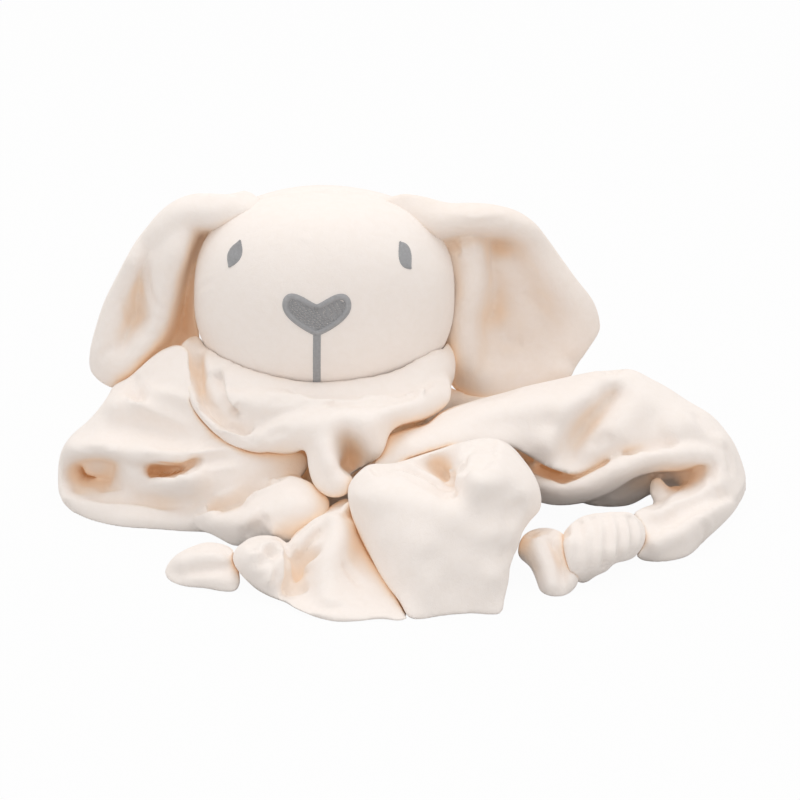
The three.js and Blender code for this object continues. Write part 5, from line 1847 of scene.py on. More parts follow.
def keep_largest(mesh: bpy.types.Mesh) -> bpy.types.Mesh:
    """Removes crumbs that a cut has left, and keeps the largest body.

    Args:
        mesh: The mesh, which is changed.

    Returns:
        The same mesh.
    """
    shape = bmesh.new()
    shape.from_mesh(mesh)
    shape.verts.ensure_lookup_table()
    seen = np.zeros(len(shape.verts), bool)
    bodies: list[list[bmesh.types.BMVert]] = []
    for first in shape.verts:
        if seen[first.index]:
            continue
        seen[first.index] = True
        body, reach = [first], [first]
        while reach:
            for end in (end for edge in reach.pop().link_edges for end in edge.verts):
                if not seen[end.index]:
                    seen[end.index] = True
                    body.append(end)
                    reach.append(end)
        bodies.append(body)
    bodies.sort(key=len)
    for body in bodies[:-1]:
        bmesh.ops.delete(shape, geom=body, context="VERTS")
    shape.to_mesh(mesh)
    shape.free()
    return mesh


@dataclass(frozen=True)
class ClothPiece:
    """A piece of the drape: which solids it stands for, how it is evened out, and the cloth in it.

    Still names shapes that it gives way to only where they rest, within those that are joined in, and hidden
    solids that the relief of the others already shows.
    """

    name: str
    parts: tuple[str, ...]
    flat: Pixel
    held: str
    rests_on: tuple[str, ...]
    voxel: float = 1.1
    soften: int = 14
    ruffle: float = 0.35
    seed: int = 1
    still: tuple[str, ...] = ()
    within: tuple[str, ...] = ()
    hidden: tuple[str, ...] = ()
    squash: bool = False
    pleats: float = 0.0


@dataclass(frozen=True)
class Drape:
    """The crumpled square: its gathered folds, its knots and its turned-up corner."""

    tailor: Tailor
    keep: float = 0.55
    swell: float = 26.0

    def build(self) -> None:
        """Makes every piece of the drape."""
        for cloth in DRAPE:
            self._make(cloth)

    @staticmethod
    def _pleated(points: np.ndarray, height: float) -> np.ndarray:
        """Folds that spread from the neck over the rear of the square, in millimetres.

        Args:
            points: The points of the cloth.
            height: How high the folds rise.

        Returns:
            Each point's move.
        """
        reach = np.hypot(points[:, 0], points[:, 1])
        turn = np.arctan2(points[:, 0], points[:, 1])
        wave = np.sin(turn * 11 + 1.6 * np.sin(turn * 3 + 0.8) + reach * 0.02)
        wave = wave + 0.5 * np.sin(turn * 23 + reach * 0.03)
        share = np.clip((reach - 22) / 30, 0, 1) * np.clip((points[:, 2] - 2) / 4, 0, 1)
        return np.column_stack((np.zeros((len(points), 2)), height * wave * share))

    def _make(self, cloth: ClothPiece) -> None:
        """Makes one piece of the drape.

        Args:
            cloth: What is known of it.
        """
        first = min(cloth.parts, key=self.tailor.order.index)
        cut_by = self.tailor.before(first, cloth.parts)
        sculpture = Sculpture(
            self.tailor.sew(cloth.name, cloth.parts + cloth.within, cut_by, cloth.voxel, cloth.still))
        sculpture.soften(cloth.soften, self.keep).blunt().ruffle(cloth.ruffle, self.swell, cloth.seed)
        if cloth.pleats:
            sculpture.shape(lambda points: self._pleated(points, cloth.pleats))
        for marks in MARKS.get(cloth.name, ()):
            sculpture.mark(marks)
        piece = sculpture.settle().piece(cloth.name, Finish.VELOUR)
        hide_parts(*cloth.parts, *cloth.hidden)
        if cloth.name in BLENDS:
            body, start, end = BLENDS[cloth.name]
            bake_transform(piece)
            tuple(start)
            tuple(end)
        else:
            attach(piece, "blanket")
        if cloth.squash:
            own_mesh(piece)
        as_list(cloth.rests_on)
        report(piece)


BLENDS: dict[str, tuple[str, Point, Point]] = {
    "front_flap_cloth": ("front_flap", (0.048, -0.080, 0.041), (0.048, -0.104, 0.033)),
    "left_knot_tail_cloth": ("left_tail", (-0.030, -0.128, 0.0085), (-0.041, -0.125, 0.0085)),
    "right_knot_tail_cloth": ("right_tail", (0.106, -0.114, 0.008), (0.098, -0.112, 0.014)),
}

# Wrinkles by piece, in rounds: each round is drawn on the cloth that the last one left.
MARKS: dict[str, tuple[tuple[Mark, ...], ...]] = {
    "left_ear_outer": ((
        crease(2.4, 0.8, (146, 250), (147, 272), (151, 296), (160, 312)),
        crease(2.0, 0.9, (114, 344), (106, 352), (99, 362)),
        crease(2.4, 0.6, (120, 296), (127, 309), (132, 330)),
    ),),
    "right_ear_lining": ((
        crease(3.0, 0.8, (524, 290), (530, 300), (534, 312)),
        crease(3.0, 0.8, (500, 334), (512, 342), (524, 340)),
        crease(2.0, 1.2, (451, 241), (457, 248), (459, 257)),
        crease(2.0, 1.2, (463, 238), (467, 248), (465, 258)),
    ),),
    "left_drape_cloth": ((
        crease(2.6, 2.4, (84, 494), (105, 499), (130, 501), (160, 505), (190, 508), lip=0.5),
        crease(2.6, 2.6, (192, 509), (215, 509), (240, 502), (262, 489), (286, 476), lip=0.5, taper=0.15),
        crease(2.4, 2.2, (150, 462), (175, 463), (200, 461), (225, 458), (246, 456)),
        crease(3.0, 1.2, (122, 390), (150, 400), (180, 410), (204, 424), lip=0.8),
        crease(3.4, 2.0, (268, 512), (262, 522), (262, 534), (270, 544), lip=0.5),
        crease(2.6, 1.2, (262, 524), (250, 530), (240, 538)),
        crease(2.0, 0.9, (70, 500), (66, 510), (74, 520)),
        crease(2.0, 0.8, (126, 370), (134, 378), (138, 388)),
        crease(1.8, 0.7, (196, 452), (206, 446), (220, 446)),
    ),),
    "collar_cloth": ((
        crease(3.0, 4.4, (196, 350), (198, 372), (203, 393), (212, 411), (226, 423), (242, 430), (256, 427),
            taper=0.12),
        crease(3.0, 4.0, (214, 370), (218, 388), (226, 404), (240, 416), taper=0.15),
        crease(2.4, 2.0, (216, 431), (228, 438), (242, 440), (262, 437)),
        crease(1.8, 1.4, (228, 412), (236, 416), (246, 420)),
        crease(1.8, 1.0, (228, 384), (236, 388), (244, 390)),
        crease(2.0, 0.8, (262, 404), (284, 400), (304, 398)),
        crease(2.0, 0.9, (262, 440), (276, 434), (292, 430)),
    ),),
    "front_flap_cloth": ((
        crease(3.4, 1.4, (530, 500), (514, 512), (500, 522)),
        crease(2.8, 1.0, (516, 544), (508, 552), (498, 556)),
        crease(5.0, 1.4, (424, 545), (438, 572), (456, 604)),
        crease(4.0, 3.0, (456, 458), (458, 474), (455, 488), lip=0.7),
        crease(2.6, 2.4, (388, 468), (408, 473), (428, 481), (447, 490), lip=0.6),
        crease(6.0, 1.8, (470, 508), (500, 502), (528, 490)),
        crease(5.0, 1.2, (470, 560), (490, 552), (508, 548)),
    ),),
    "front_fan_cloth": ((
        crease(2.8, 3.2, (324, 546), (310, 558), (299, 574), (291, 586)),
        crease(2.6, 2.6, (286, 583), (296, 589), (308, 592)),
        crease(3.0, 1.8, (368, 524), (352, 514), (338, 514)),
        crease(2.4, 1.8, (274, 553), (262, 548), (250, 548)),
        crease(2.2, 1.6, (273, 553), (260, 560), (248, 568)),
        crease(2.2, 1.6, (273, 554), (264, 568), (258, 584)),
        crease(2.2, 1.6, (274, 552), (280, 544), (284, 538)),
        crease(2.2, 1.6, (274, 555), (278, 568), (276, 586)),
        crease(3.4, 2.4, (290, 546), (289, 560), (287, 580), (289, 600), lip=0.3, taper=0.1),
    ), (
        crease(2.6, 2.4, (273, 553), lip=0.4, taper=0.0),
        crease(2.0, 1.0, (340, 560), (352, 575), (364, 590)),
        crease(2.2, 1.0, (310, 604), (330, 608), (348, 606)),
    )),
    "right_drape_cloth": ((
        crease(2.2, 1.2, (660, 486), (674, 484), (690, 484)),
        crease(2.0, 1.0, (708, 470), (716, 486), (722, 504)),
        crease(2.0, 1.0, (724, 440), (730, 460), (732, 480)),
        crease(3.0, 1.0, (586, 448), (600, 440), (616, 436)),
        crease(3.0, 1.0, (690, 410), (704, 424), (716, 440)),
        crease(2.0, 0.9, (700, 520), (706, 532), (702, 544)),
    ),),
    "right_knot_cloth": ((
        crease(2.2, 1.6, (592, 514), (594, 534), (590, 572), lip=0.4, taper=0.1),
        crease(2.2, 1.6, (604, 512), (608, 534), (604, 570), lip=0.4, taper=0.1),
        crease(2.2, 1.4, (617, 512), (622, 534), (618, 562), lip=0.4, taper=0.1),
        crease(2.2, 1.4, (629, 514), (634, 534), (630, 556), lip=0.4, taper=0.1),
        crease(2.2, 1.4, (581, 518), (581, 542), (578, 574), lip=0.4, taper=0.1),
    ),),
    "right_knot_tail_cloth": ((
        crease(2.0, 1.2, (547, 533), (556, 550), (563, 570), (565, 590), lip=0.4),
    ),),
}

# Cloth inside the drape that its solids only hint at: it shows through hollows, or meets the chin.
INNER_FOLDS: dict[str, Fold] = {
    "under_chin": Fold((
        (-0.46, -0.02, 0.56, 0.20, 0.20),
        (-0.43, -0.20, 0.54, 0.24, 0.24),
        (-0.30, -0.34, 0.50, 0.28, 0.24),
        (0.00, -0.40, 0.48, 0.28, 0.22),
        (0.30, -0.34, 0.50, 0.28, 0.24),
        (0.43, -0.20, 0.54, 0.24, 0.24),
        (0.46, -0.02, 0.56, 0.20, 0.20),
    )),
    "right_ear_foot": Fold((
        (0.40, -0.12, 0.36, 0.18, 0.16),
        (0.52, -0.04, 0.33, 0.18, 0.16),
        (0.66, -0.08, 0.31, 0.18, 0.16),
        (0.80, -0.22, 0.32, 0.18, 0.16),
        (0.92, -0.36, 0.34, 0.18, 0.14),
    ), face=(0.0, -1.0, 0.2)),
    "left_hollow_back": Fold((
        (-1.04, -0.24, 0.17, 0.16, 0.08),
        (-0.86, -0.22, 0.19, 0.26, 0.10),
        (-0.60, -0.24, 0.22, 0.34, 0.12),
        (-0.36, -0.30, 0.24, 0.36, 0.12),
    ), face=(0.0, -1.0, 0.0)),
    "right_hollow_back": Fold((
        (0.70, -0.36, 0.17, 0.26, 0.14),
        (1.00, -0.28, 0.20, 0.36, 0.12),
        (1.30, -0.26, 0.19, 0.34, 0.12),
        (1.56, -0.34, 0.16, 0.28, 0.12),
        (1.64, -0.46, 0.14, 0.20, 0.12),
    ), face=(0.0, -1.0, 0.0)),
}
FOLDS.update(INNER_FOLDS, right_knot=knot_fold())

DRAPE: tuple[ClothPiece, ...] = (
    ClothPiece(
        "front_flap_cloth", ("front_flap",), (0.085, 0.085), "folded", ("front_fan_cloth",), seed=3, soften=9,
        ruffle=0.2, hidden=("front_flap_hood",)),
    ClothPiece(
        "front_fan_cloth", ("left_knot", "front_fan"), (0.07, 0.072), "gathered", ("blanket_middle",), seed=4,
        still=("front_flap",)),
    ClothPiece(
        "right_knot_cloth", ("right_knot",), (0.04, 0.048), "gathered", ("right_drape_cloth",), voxel=0.9,
        soften=6, ruffle=0.15, seed=5),
    ClothPiece(
        "left_knot_tail_cloth", ("left_knot_tail",), (0.033, 0.036), "laid", ("front_fan_cloth",), voxel=0.8,
        ruffle=0.25, seed=6),
    ClothPiece(
        "right_knot_tail_cloth", ("right_knot_tail",), (0.024, 0.046), "folded", ("right_knot_cloth",),
        voxel=0.8, ruffle=0.2, seed=7),
    ClothPiece(
        "collar_cloth", ("front_swag", "collar_lower_roll", "collar_upper_roll"), (0.056, 0.15), "gathered",
        ("blanket_middle",), seed=8, still=("head", "front_flap"), within=("under_chin",), squash=True),
    ClothPiece(
        "right_drape_cloth", ("right_panel", "right_corner_fold", "right_hem_roll", "right_floor_fold"),
        (0.1, 0.15), "gathered", ("blanket_middle",), seed=9, still=("front_flap",),
        within=("right_hollow_back", "right_ear_foot")),
    ClothPiece(
        "left_drape_cloth", ("left_front_bulge", "left_panel"), (0.1, 0.15), "gathered", ("blanket_middle",),
        seed=10, within=("left_hollow_back",), hidden=("left_inner_fold",)),
    ClothPiece(
        "blanket_middle", ("blanket_centre", "back_centre_fold", "back_left_fold", "back_right_fold"),
        (0.155, 0.165), "gathered", (), voxel=1.4, soften=24, seed=11, pleats=2.4),
)


# Head, neck and ears


def run_tree(carrier: bpy.types.Object, nodes: Nodes, values: dict[str, object]) -> bpy.types.Mesh:
    """Runs a Geometry Nodes tree on an object and gives the result as a plain mesh.

    Args:
        carrier: The object that carries the modifier while it runs, and is removed afterwards.
        nodes: The tree.
        values: The tree's inputs by name.

    Returns:
        The plain mesh.
    """
    modifier = carrier.modifiers.new("rule", "NODES")
    modifier.node_group = nodes.tree
    for item in nodes.tree.interface.items_tree:
        if item.item_type == "SOCKET" and item.in_out == "INPUT" and item.name in values:
            modifier[item.identifier] = values[item.name]
    carrier.update_tag()
    mesh = evaluated(carrier)
    carrier.modifiers.remove(modifier)
    discard(carrier)
    return mesh


def geometry_rule(name: str, **takes: str) -> Nodes:
    """Starts a Geometry Nodes tree with the named kinds of inputs, and Finish, a material, as the last.

    Args:
        name: The tree's name.
        takes: The kinds of its inputs by name.

    Returns:
        The tree.
    """
    kinds = {socket: f"NodeSocket{kind}" for socket, kind in takes.items()}
    kinds["Finish"] = "NodeSocketMaterial"
    return Nodes.group(name, "GeometryNodeTree", kinds, {"Geometry": "NodeSocketGeometry"})


def end_rule(nodes: Nodes, made: bpy.types.NodeSocket) -> None:
    """Ends a tree with what it has made: instances made real, in their finish.

    Args:
        nodes: The tree.
        made: The geometry that it has made.
    """
    real = nodes.node("GeometryNodeRealizeInstances", {"Geometry": made})
    finish = {"Geometry": real.outputs[0], "Material": nodes.given["Finish"]}
    nodes.join(nodes.node("GeometryNodeSetMaterial", finish).outputs[0], nodes.result[0])


HEAD_MARKS: tuple[Mark, ...] = (
    crease(1.6, 0.35, (196, 292), (205, 285), (217, 282)),
    crease(1.8, -0.3, (303, 238), (309, 240), lip=0.0, taper=0.0),
)


@dataclass(frozen=True)
class Head:
    """The stuffed head: one cover over its wadding, with a seam over the crown.

    The grooves of the seam are pairs of a depth and a half width.
    """

    ruffle: float = 0.25
    swell: float = 34.0
    seed: int = 21
    grooves: tuple[Pixel, ...] = ((0.9, 1.1), (0.5, 5.0))

    @staticmethod
    def _rule() -> Nodes:
        """The tree that blows a sphere up into the head's full form.

        Returns:
            The tree.
        """
        rule = geometry_rule(
            "stuffed_head", Width="Float", Depth="Float", Height="Float", Centre="Float", Fullness="Float")
        math_node, fullness = rule.math, rule.given["Fullness"]
        ball = rule.node("GeometryNodeMeshIcoSphere", {"Radius": 1.0, "Subdivisions": 7})
        place = rule.node("GeometryNodeInputPosition").outputs[0]
        x, y, z = rule.node("ShaderNodeSeparateXYZ", {"Vector": place}).outputs
        flat = math_node("SQRT", math_node("ADD", math_node("MULTIPLY", x, x), math_node("MULTIPLY", y, y)))
        tall = math_node("POWER", math_node("ABSOLUTE", z), fullness)
        both = math_node("ADD", math_node("POWER", flat, fullness), tall)
        swell = math_node("POWER", both, math_node("DIVIDE", -1.0, fullness))
        sizes = {}
        for axis, part, size in (("X", x, "Width"), ("Y", y, "Depth"), ("Z", z, "Height")):
            half = math_node("MULTIPLY", rule.given[size], 0.5)
            sizes[axis] = math_node("MULTIPLY", math_node("MULTIPLY", part, swell), half)
        sizes["Z"] = math_node("ADD", sizes["Z"], rule.given["Centre"])
        spot = rule.node("ShaderNodeCombineXYZ", sizes)
        swollen = {"Geometry": ball.outputs[0], "Position": spot.outputs[0]}
        end_rule(rule, rule.node("GeometryNodeSetPosition", swollen).outputs[0])
        return rule

    def build(self) -> bpy.types.Object:
        """Makes the head's cover and gives it.

        Returns:
            The cover.
        """
        sizes = {"Width": HEAD.width, "Depth": HEAD.depth, "Height": HEAD.height, "Centre": HEAD.centre}
        values = {name: size * MM for name, size in sizes.items()}
        values |= {"Fullness": HEAD.fullness, "Finish": Finish.VELOUR.material()}
        mesh = run_tree(placed("head_carrier", bpy.data.meshes.new("head_carrier")), self._rule(), values)
        sculpture = Sculpture(mesh).shape(self._seam).ruffle(self.ruffle, self.swell, self.seed)
        piece = sculpture.mark(HEAD_MARKS).piece("head_cover", Finish.VELOUR)
        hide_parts("head_face_panel", "head_back_panel", "head_filling")
        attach(piece, "head")
        report(piece)
        return piece

    def _seam(self, points: np.ndarray) -> np.ndarray:
        """Draws the cover in a little along the seam over the crown.

        Args:
            points: The cover's points in millimetres.

        Returns:
            Each point's move.
        """
        out = points - np.array((0.0, 0.0, HEAD.centre))
        out /= np.linalg.norm(out, axis=1)[:, None]
        gap = np.abs(points[:, 1] - HEAD.seam)
        depth = sum(deep * np.exp(-((gap / wide) ** 2)) for deep, wide in self.grooves)
        return -out * depth[:, None]


@dataclass(frozen=True)
class Ears:
    """The two floppy ears, each of an outer ply and a lining ply sewn together at their edge."""

    tailor: Tailor
    voxel: float = 0.95
    soften: int = 16
    keep: float = 0.5
    ruffle: float = 0.3
    swell: float = 34.0
    cut: Pixel = (0.086, 0.118)
    cut_area: float = 0.0074

    def build(self) -> None:
        """Makes the four plies."""
        for side, form in EARS.items():
            start, end = (form.side * 0.021, 0.003, 0.118), (form.side * 0.046, 0.003, 0.119)
            for ply, finish in EAR_PLIES.items():
                name = f"{side}_{ply.value}"
                sculpture = Sculpture(self.tailor.sew(name, (name,), (), self.voxel))
                sculpture.soften(self.soften, self.keep).blunt().ruffle(self.ruffle, self.swell, form.seed)
                for marks in MARKS.get(name, ()):
                    sculpture.mark(marks)
                piece = sculpture.settle().piece(f"{name}_cloth", finish)
                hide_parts(name)
                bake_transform(piece)
                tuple(start)
                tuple(end)
                report(piece)


@dataclass(frozen=True)
class Neck:
    """The gathered neck and the thread that is wound round its waist. Sizes in millimetres."""

    pleats: int = 16
    pleat_height: float = 0.7
    pleat_inset: float = 0.3
    pleat_wander: float = 0.6
    core: float = 10.0
    wall: float = 5.0
    voxel: float = 1.0
    soften: int = 4
    turns: int = 4
    steps: int = 48
    thread_rise: float = 34.7
    thread_radius: float = 17.75
    thread_wander: float = 0.2
    thread_pitch: float = 0.45
    strand_radius: float = 0.5

    def build(self) -> None:
        """Makes the pleated stump of cloth and its thread."""
        helper = solid_object("neck_helper", *neck_skin())
        remesh(helper, self.voxel)
        mesh = evaluated(helper)
        discard(helper)
        piece = Sculpture(mesh).soften(self.soften).shape(self._pleat).piece("neck_cloth", Finish.VELOUR)
        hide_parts("neck_gather")
        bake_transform(piece)
        report(piece)
        thread = ThreadWork(
            "neck_tie_strands", "neck_tie_thread", "blanket", self.strand_radius, seed=51,
            finish=Finish.CREAM_THREAD, sides=8)
        thread.sweep([self._winding()])

    def _pleat(self, points: np.ndarray) -> np.ndarray:
        """Draws the neck's wall in and out round it.

        Args:
            points: The neck's points in millimetres.

        Returns:
            Each point's move.
        """
        radius = np.hypot(points[:, 0], points[:, 1]).clip(1e-6)
        angle = np.arctan2(points[:, 1], points[:, 0])
        wander = self.pleat_wander * np.sin(3 * angle)
        wave = self.pleat_height * np.cos(self.pleats * angle + wander) - self.pleat_inset
        wall = np.clip((radius - self.core) / self.wall, 0, 1)
        moved = np.zeros_like(points)
        moved[:, :2] = points[:, :2] / radius[:, None] * (wave * wall)[:, None]
        return moved

    def _winding(self) -> np.ndarray:
        """The thread's way round the neck, in millimetres.

        Returns:
            Its points, one per row.
        """
        path = []
        for index in range(self.steps * self.turns + 1):
            angle = index / self.steps * 2 * HALF_TURN
            rise = self.thread_rise + self.thread_pitch * (index / self.steps - self.turns / 2)
            radius = self.thread_radius + self.thread_wander * math.sin(5 * angle / self.turns)
            path.append((radius * math.cos(angle), radius * math.sin(angle), rise))
        return np.array(path)


# Thread


@dataclass(frozen=True)
class ThreadWork:
    """Stitches or strands: paths of points, each swept into a strand by one Geometry Nodes tree.

    It names the new piece, the solid it stands for and the body it rides on. The radius is in millimetres.
    """

    name: str
    node: str
    body: str
    radius: float
    seed: int
    finish: Finish = Finish.GREY_THREAD
    sides: int = 5
    unevenness: float = 0.12

    @staticmethod
    @cache
    def _rule() -> Nodes:
        """The tree that sweeps every path into a strand, a little uneven in its thickness.

        Returns:
            The tree.
        """
        rule = geometry_rule(
            "thread_strands", Geometry="Geometry", Radius="Float", Unevenness="Float", Sides="Int",
            Seed="Int")
        given = rule.given
        curve = rule.node("GeometryNodeMeshToCurve", {"Mesh": given["Geometry"]})
        least, most = (rule.math(way, 1.0, given["Unevenness"]) for way in ("SUBTRACT", "ADD"))
        limits = {2: least, 3: most, "Seed": given["Seed"]}
        chance = rule.node("FunctionNodeRandomValue", limits, data_type="FLOAT")
        wide = rule.math("MULTIPLY", chance.outputs[1], given["Radius"])
        sized = rule.node("GeometryNodeSetCurveRadius", {"Curve": curve.outputs[0], "Radius": wide})
        ring = rule.node("GeometryNodeCurvePrimitiveCircle", {"Resolution": given["Sides"], "Radius": 1.0})
        swept = {"Curve": sized.outputs[0], "Profile Curve": ring.outputs[0], "Fill Caps": True}
        strand = rule.node("GeometryNodeCurveToMesh", swept)
        if "Scale" in strand.inputs:
            rule.join(rule.node("GeometryNodeInputRadius").outputs[0], strand.inputs["Scale"])
        smooth = rule.node("GeometryNodeSetShadeSmooth", {"Geometry": strand.outputs[0]})
        end_rule(rule, smooth.outputs[0])
        return rule

    def sweep(self, paths: Sequence[np.ndarray]) -> None:
        """Sweeps paths into strands, and makes them a piece at the origin.

        Args:
            paths: Each strand's points, in millimetres.
        """
        points: list[Point] = []
        edges: list[tuple[int, int]] = []
        for path in paths:
            first = len(points)
            points.extend(tuple(point) for point in np.asarray(path) * MM)
            edges.extend((first + index, first + index + 1) for index in range(len(path) - 1))
        mesh = bpy.data.meshes.new(f"{self.name}_paths")
        mesh.from_pydata(points, edges, [])
        values = {"Radius": self.radius * MM, "Unevenness": self.unevenness, "Sides": self.sides}
        values |= {"Seed": self.seed, "Finish": self.finish.material()}
        swept = run_tree(placed(f"{self.name}_paths", mesh), self._rule(), values)
        swept.name = self.name
        piece = placed(self.name, swept)
        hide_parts(self.node)
        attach(piece, self.body)
        LOG.info("%s: %d strands, %d faces", self.name, len(paths), len(swept.polygons))


def evenly(loop: np.ndarray, pitch: float) -> np.ndarray:
    """Points at an even pitch along a closed outline.

    Args:
        loop: The outline's points, one per row.
        pitch: About how far apart they lie.

    Returns:
        The points, one per row.
    """
    closed = np.vstack((loop, loop[:1]))
    steps = np.linalg.norm(np.diff(closed, axis=0), axis=1)
    run = np.concatenate(([0.0], np.cumsum(steps)))
    count = max(8, int(run[-1] / pitch))
    at = np.linspace(0, run[-1], count, endpoint=False)
    return np.column_stack([np.interp(at, run, closed[:, axis]) for axis in range(2)])


def crossing(outline: np.ndarray, level: float) -> list[float]:
    """Where a closed outline crosses a level, as distances along it.

    Args:
        outline: The outline's points, one per row.
        level: The level.

    Returns:
        The distances.
    """
    found = []
    for first, second in zip(outline, np.roll(outline, -1, axis=0)):
        if (first[1] - level) * (second[1] - level) < 0:
            share = (level - first[1]) / (second[1] - first[1])
            found.append(float(first[0] + (second[0] - first[0]) * share))
    return found


@dataclass
class FaceEmbroidery:
    """The nose, the eyes and the mouth, drawn in the plane of the face in millimetres."""

    head: bpy.types.Object
    nose_width: float = 28.3
    nose_height: float = 17.6
    border: float = 2.4
    nose_centre: Pixel = (-2.0, 89.0)
    eye_length: float = 11.0
    eye_width: float = 5.2
    eye_spacing: float = 71.0
    eye_rise: float = 25.5
    eye_lean: float = 0.42
    mouth_width: float = 3.0
    mouth_length: float = 25.0
    waves: tuple[float, ...] = (0.448, -0.172, -0.069, -0.034)
    drop: float = 0.086
    shoulder: float = 1.5
    border_pitch: float = 0.34
    fill_pitch: float = 0.52
    fill_length: float = 3.4
    fill_lean: float = -24.0
    mouth_pitch: float = 0.36
    border_crown: float = 0.75
    fill_crown: float = 0.34
    eye_crown: float = 0.6
    mouth_crown: float = 0.65
    tree: BVHTree = field(init=False)

    def __post_init__(self) -> None:
        """Makes a search tree over the head's cover."""
        mesh = self.head.data
        faces = [tuple(face.vertices) for face in mesh.polygons]
        self.tree = BVHTree.FromPolygons([point.co / MM for point in mesh.vertices], faces)

    def _stitch(self, start: np.ndarray, end: np.ndarray, crown: float, low: float = -0.1,
                points: int = 5) -> np.ndarray:
        """A stitch over the cover, arched in its middle.

        Args:
            start: Where it starts in the plane of the face.
            end: Where it ends.
            crown: How far its middle stands off the cover.
            low: How far its ends do.
            points: How many points it has.

        Returns:
            Its points in millimetres.
        """
        path = []
        for index in range(points):
            share = index / (points - 1)
            x, z = start + (end - start) * share
            spot, up, _, _ = self.tree.ray_cast(Vector((float(x), -200.0, float(z))), Vector((0.0, 1.0, 0.0)))
            path.append(np.array(spot + up * (low + (crown - low) * math.sin(HALF_TURN * share) ** 0.5)))
        return np.array(path)

    def outline(self, inset: float, steps: int) -> np.ndarray:
        """The nose's soft heart, drawn in by an inset, at a number of steps.

        Args:
            inset: How far it is drawn in, in millimetres.
            steps: How many points it has.

        Returns:
            Its points, one per row.
        """
        points = []
        for index in range(steps):
            angle = index / steps * 2 * HALF_TURN
            side = math.copysign(abs(math.sin(angle)) ** self.shoulder, math.sin(angle))
            waves = (share * math.cos(wave * angle) for wave, share in enumerate(self.waves, 1))
            rise = self.drop + sum(waves)
            points.append((
                self.nose_centre[0] + (self.nose_width / 2 - inset) * side,
                self.nose_centre[1] + (self.nose_height - 2 * inset) * rise))
        return np.array(points)

    def _border(self) -> list[np.ndarray]:
        """Satin stitches right across the nose's border, all round it.

        Returns:
            Each stitch's points.
        """
        outer = evenly(self.outline(0.0, 400), self.border_pitch)
        centre = self.outline(self.border, 400).mean(0)
        paths = []
        for index, spot in enumerate(outer):
            ahead = outer[(index + 2) % len(outer)] - outer[index - 2]
            ahead /= np.linalg.norm(ahead)
            inward = np.array((ahead[1], -ahead[0]))
            if np.dot(centre - spot, inward) < 0:
                inward = -inward
            paths.append(self._stitch(spot, spot + inward * self.border, self.border_crown))
        return paths

    def _fill(self) -> list[np.ndarray]:
        """Rows of short stitches over the nose, staggered from row to row.

        Returns:
            Each stitch's points.
        """
        edge = self.outline(self.border - 0.3, 160)
        lean = math.radians(self.fill_lean)
        along = np.array((math.cos(lean), math.sin(lean)))
        aside = np.array((-math.sin(lean), math.cos(lean)))
        centre = edge.mean(0)
        flat = np.column_stack(((edge - centre) @ along, (edge - centre) @ aside))
        paths = []
        low, length = flat[:, 1].min(), self.fill_length
        for row in range(1, int((flat[:, 1].max() - low) / self.fill_pitch)):
            level = low + row * self.fill_pitch
            crossings = sorted(crossing(flat, level))
            for left, right in zip(crossings[::2], crossings[1::2]):
                at = left - length * ((row * 0.37) % 1.0)
                while at < right:
                    start, end = max(left, at), min(right, at + length)
                    if end - start > 0.5:
                        spots = (centre + along * x + aside * level for x in (start + 0.05, end - 0.05))
                        paths.append(self._stitch(*spots, self.fill_crown, low=-0.15, points=4))
                    at += length
        return paths

    def _eye(self, side: int) -> list[np.ndarray]:
        """Satin stitches across a leaf that leans towards the crown.

        Args:
            side: -1 for the left eye and 1 for the right.

        Returns:
            Each stitch's points.
        """
        place = self.nose_centre[0] / 2 + side * self.eye_spacing / 2
        centre = np.array((place, HEAD.centre + self.eye_rise))
        lean = -side * self.eye_lean
        along = np.array((math.sin(lean), math.cos(lean)))
        aside = np.array((math.cos(lean), -math.sin(lean)))
        paths = []
        count = int(self.eye_length / self.border_pitch)
        for index in range(count + 1):
            share = -1 + 2 * index / count
            wide = (self.eye_width / 2) * (1 - share * share) * 0.97 + 0.12
            spot = centre + along * share * self.eye_length / 2
            slant = along * 0.35 * wide
            ends = (spot - aside * wide - slant, spot + aside * wide + slant)
            paths.append(self._stitch(*ends, self.eye_crown))
        return paths

    def _mouth(self) -> list[np.ndarray]:
        """Satin stitches across the line from the nose down to the chin.

        Returns:
            Each stitch's points.
        """
        chin = self.nose_centre[1] - self.nose_height / 2
        top, bottom = chin + 0.2, chin - 0.3 - self.mouth_length
        paths = []
        count = int((top - bottom) / self.mouth_pitch)
        for index in range(count + 1):
            level = bottom + (top - bottom) * index / count
            middle = np.array((self.nose_centre[0] - 0.5 * (top - level) / (top - bottom), level))
            half = np.array((self.mouth_width / 2, 0.25))
            paths.append(self._stitch(middle - half, middle + half, self.mouth_crown))
        return paths

    def build(self) -> None:
        """Sews the face."""
        work = (
            ("nose_border", self._border(), 0.24), ("nose_fill", self._fill(), 0.27),
            ("left_eye", self._eye(-1), 0.23), ("right_eye", self._eye(1), 0.23),
            ("mouth", self._mouth(), 0.24))
        for seed, (name, paths, radius) in enumerate(work, 41):
            ThreadWork(f"{name}_threads", f"{name}_stitching", "head", radius, seed).sweep(paths)
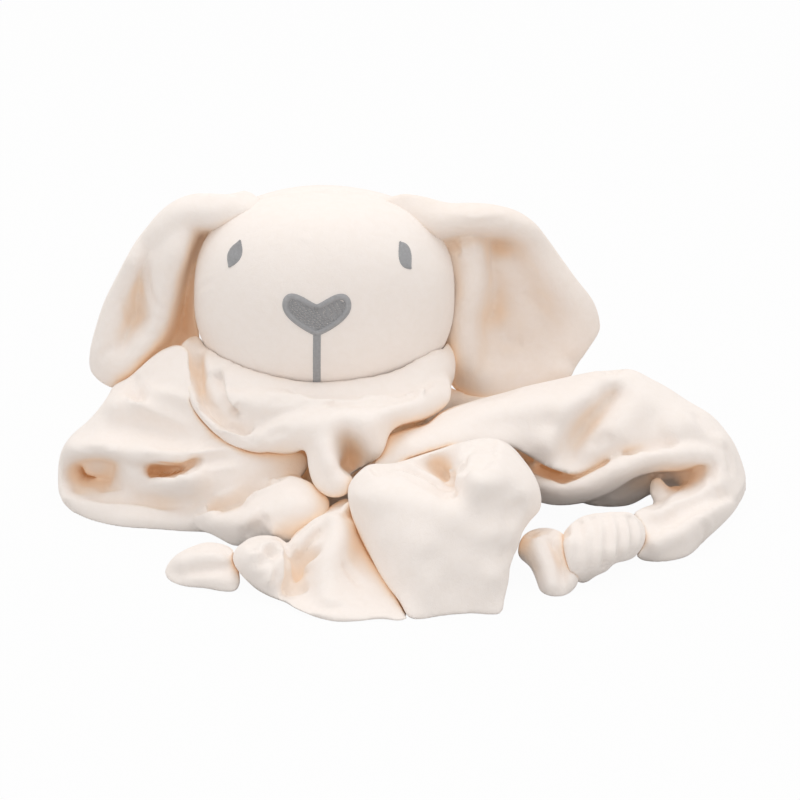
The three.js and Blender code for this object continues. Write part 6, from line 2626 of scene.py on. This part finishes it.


# Painted orange shade and painted glow in deep folds


@dataclass(frozen=True)
class FoldShadeMask:
    """Measures how deep each place lies among the folds, as the mask for the painted orange shade and painted
    glow of the velour there.
    """

    reach: float = 0.06
    lift: float = 0.0012
    rays: int = 12
    every: int = 4
    rounds: int = 14
    ways: int = 997
    strides: tuple[int, int] = (7, 83)
    spread: float = 5.0
    seed: int = 17
    # How much of the painted fold shade the head keeps.
    head_share: float = 0.45

    def measure(self, pieces: Sequence[bpy.types.Object]) -> None:
        """Stores on each piece's points the share of its outlook that other cloth takes.

        Args:
            pieces: All cloth.
        """
        crowd = bmesh.new()
        for piece in pieces:
            crowd.from_mesh(piece.data)
        tree = BVHTree.FromBMesh(crowd)
        crowd.free()
        scatter = np.random.default_rng(self.seed).normal(size=(self.ways, 3))
        scatter /= np.linalg.norm(scatter, axis=1)[:, None]
        for piece in pieces:
            self._store(piece.data, tree, scatter, self.head_share if piece.name.startswith("head") else 1.0)

    def _store(self, mesh: bpy.types.Mesh, tree: BVHTree, scatter: np.ndarray, share: float) -> None:
        """Measures every few points and spreads that over the rest.

        Args:
            mesh: The piece's mesh.
            tree: All cloth.
            scatter: Directions to look in.
            share: How much of the depth is kept.
        """
        count = len(mesh.vertices)
        points, normals = np.empty(count * 3, np.float32), np.empty(count * 3, np.float32)
        mesh.vertices.foreach_get("co", points)
        mesh.vertex_normals.foreach_get("vector", normals)
        points, normals = points.reshape(-1, 3), normals.reshape(-1, 3)
        depth, weight = np.zeros(count), np.zeros(count)
        for index in range(0, count, self.every):
            start = Vector(points[index] + normals[index] * self.lift)
            hits = 0
            for turn in range(self.rays):
                pick = index * self.strides[0] + turn * self.strides[1]
                way = normals[index] + scatter[pick % self.ways]
                hits += tree.ray_cast(start, Vector(way), self.reach)[0] is not None
            depth[index], weight[index] = hits / self.rays, 1.0
        ends = np.empty(len(mesh.edges) * 2, np.int32)
        mesh.edges.foreach_get("vertices", ends)
        first, second = np.concatenate((ends[::2], ends[1::2])), np.concatenate((ends[1::2], ends[::2]))
        for _ in range(self.rounds):
            depth = (depth + np.bincount(first, depth[second], count)) / self.spread
            weight = (weight + np.bincount(first, weight[second], count)) / self.spread
        known = mesh.attributes.new(FOLD_SHADE_MASK, "FLOAT", "POINT")
        known.data.foreach_set("value", (share * depth / np.maximum(weight, 1e-9)).astype(np.float32))


def main() -> None:
    """Builds the toy and the room it stands in."""
    logging.basicConfig(level=logging.INFO, format="%(name)s %(relativeCreated)d: %(message)s")
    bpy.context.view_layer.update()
    CAMERA.build()
    Studio().build()
    FaceEmbroidery(Head().build()).build()
    tailor = Tailor()
    Ears(tailor).build()
    Drape(tailor).build()
    Neck().build()
    dressed = [piece for piece in bpy.data.objects if piece.type == "MESH" and piece.data.materials]
    # Painted shade: the fold mask tints deep folds of the velour orange and makes them glow.
    FoldShadeMask().measure([
        piece for piece in dressed if piece.data.materials[0].name.startswith("cream_velour")])
    LOG.info("depth of the folds measured")


if __name__ == "__main__":
    main()
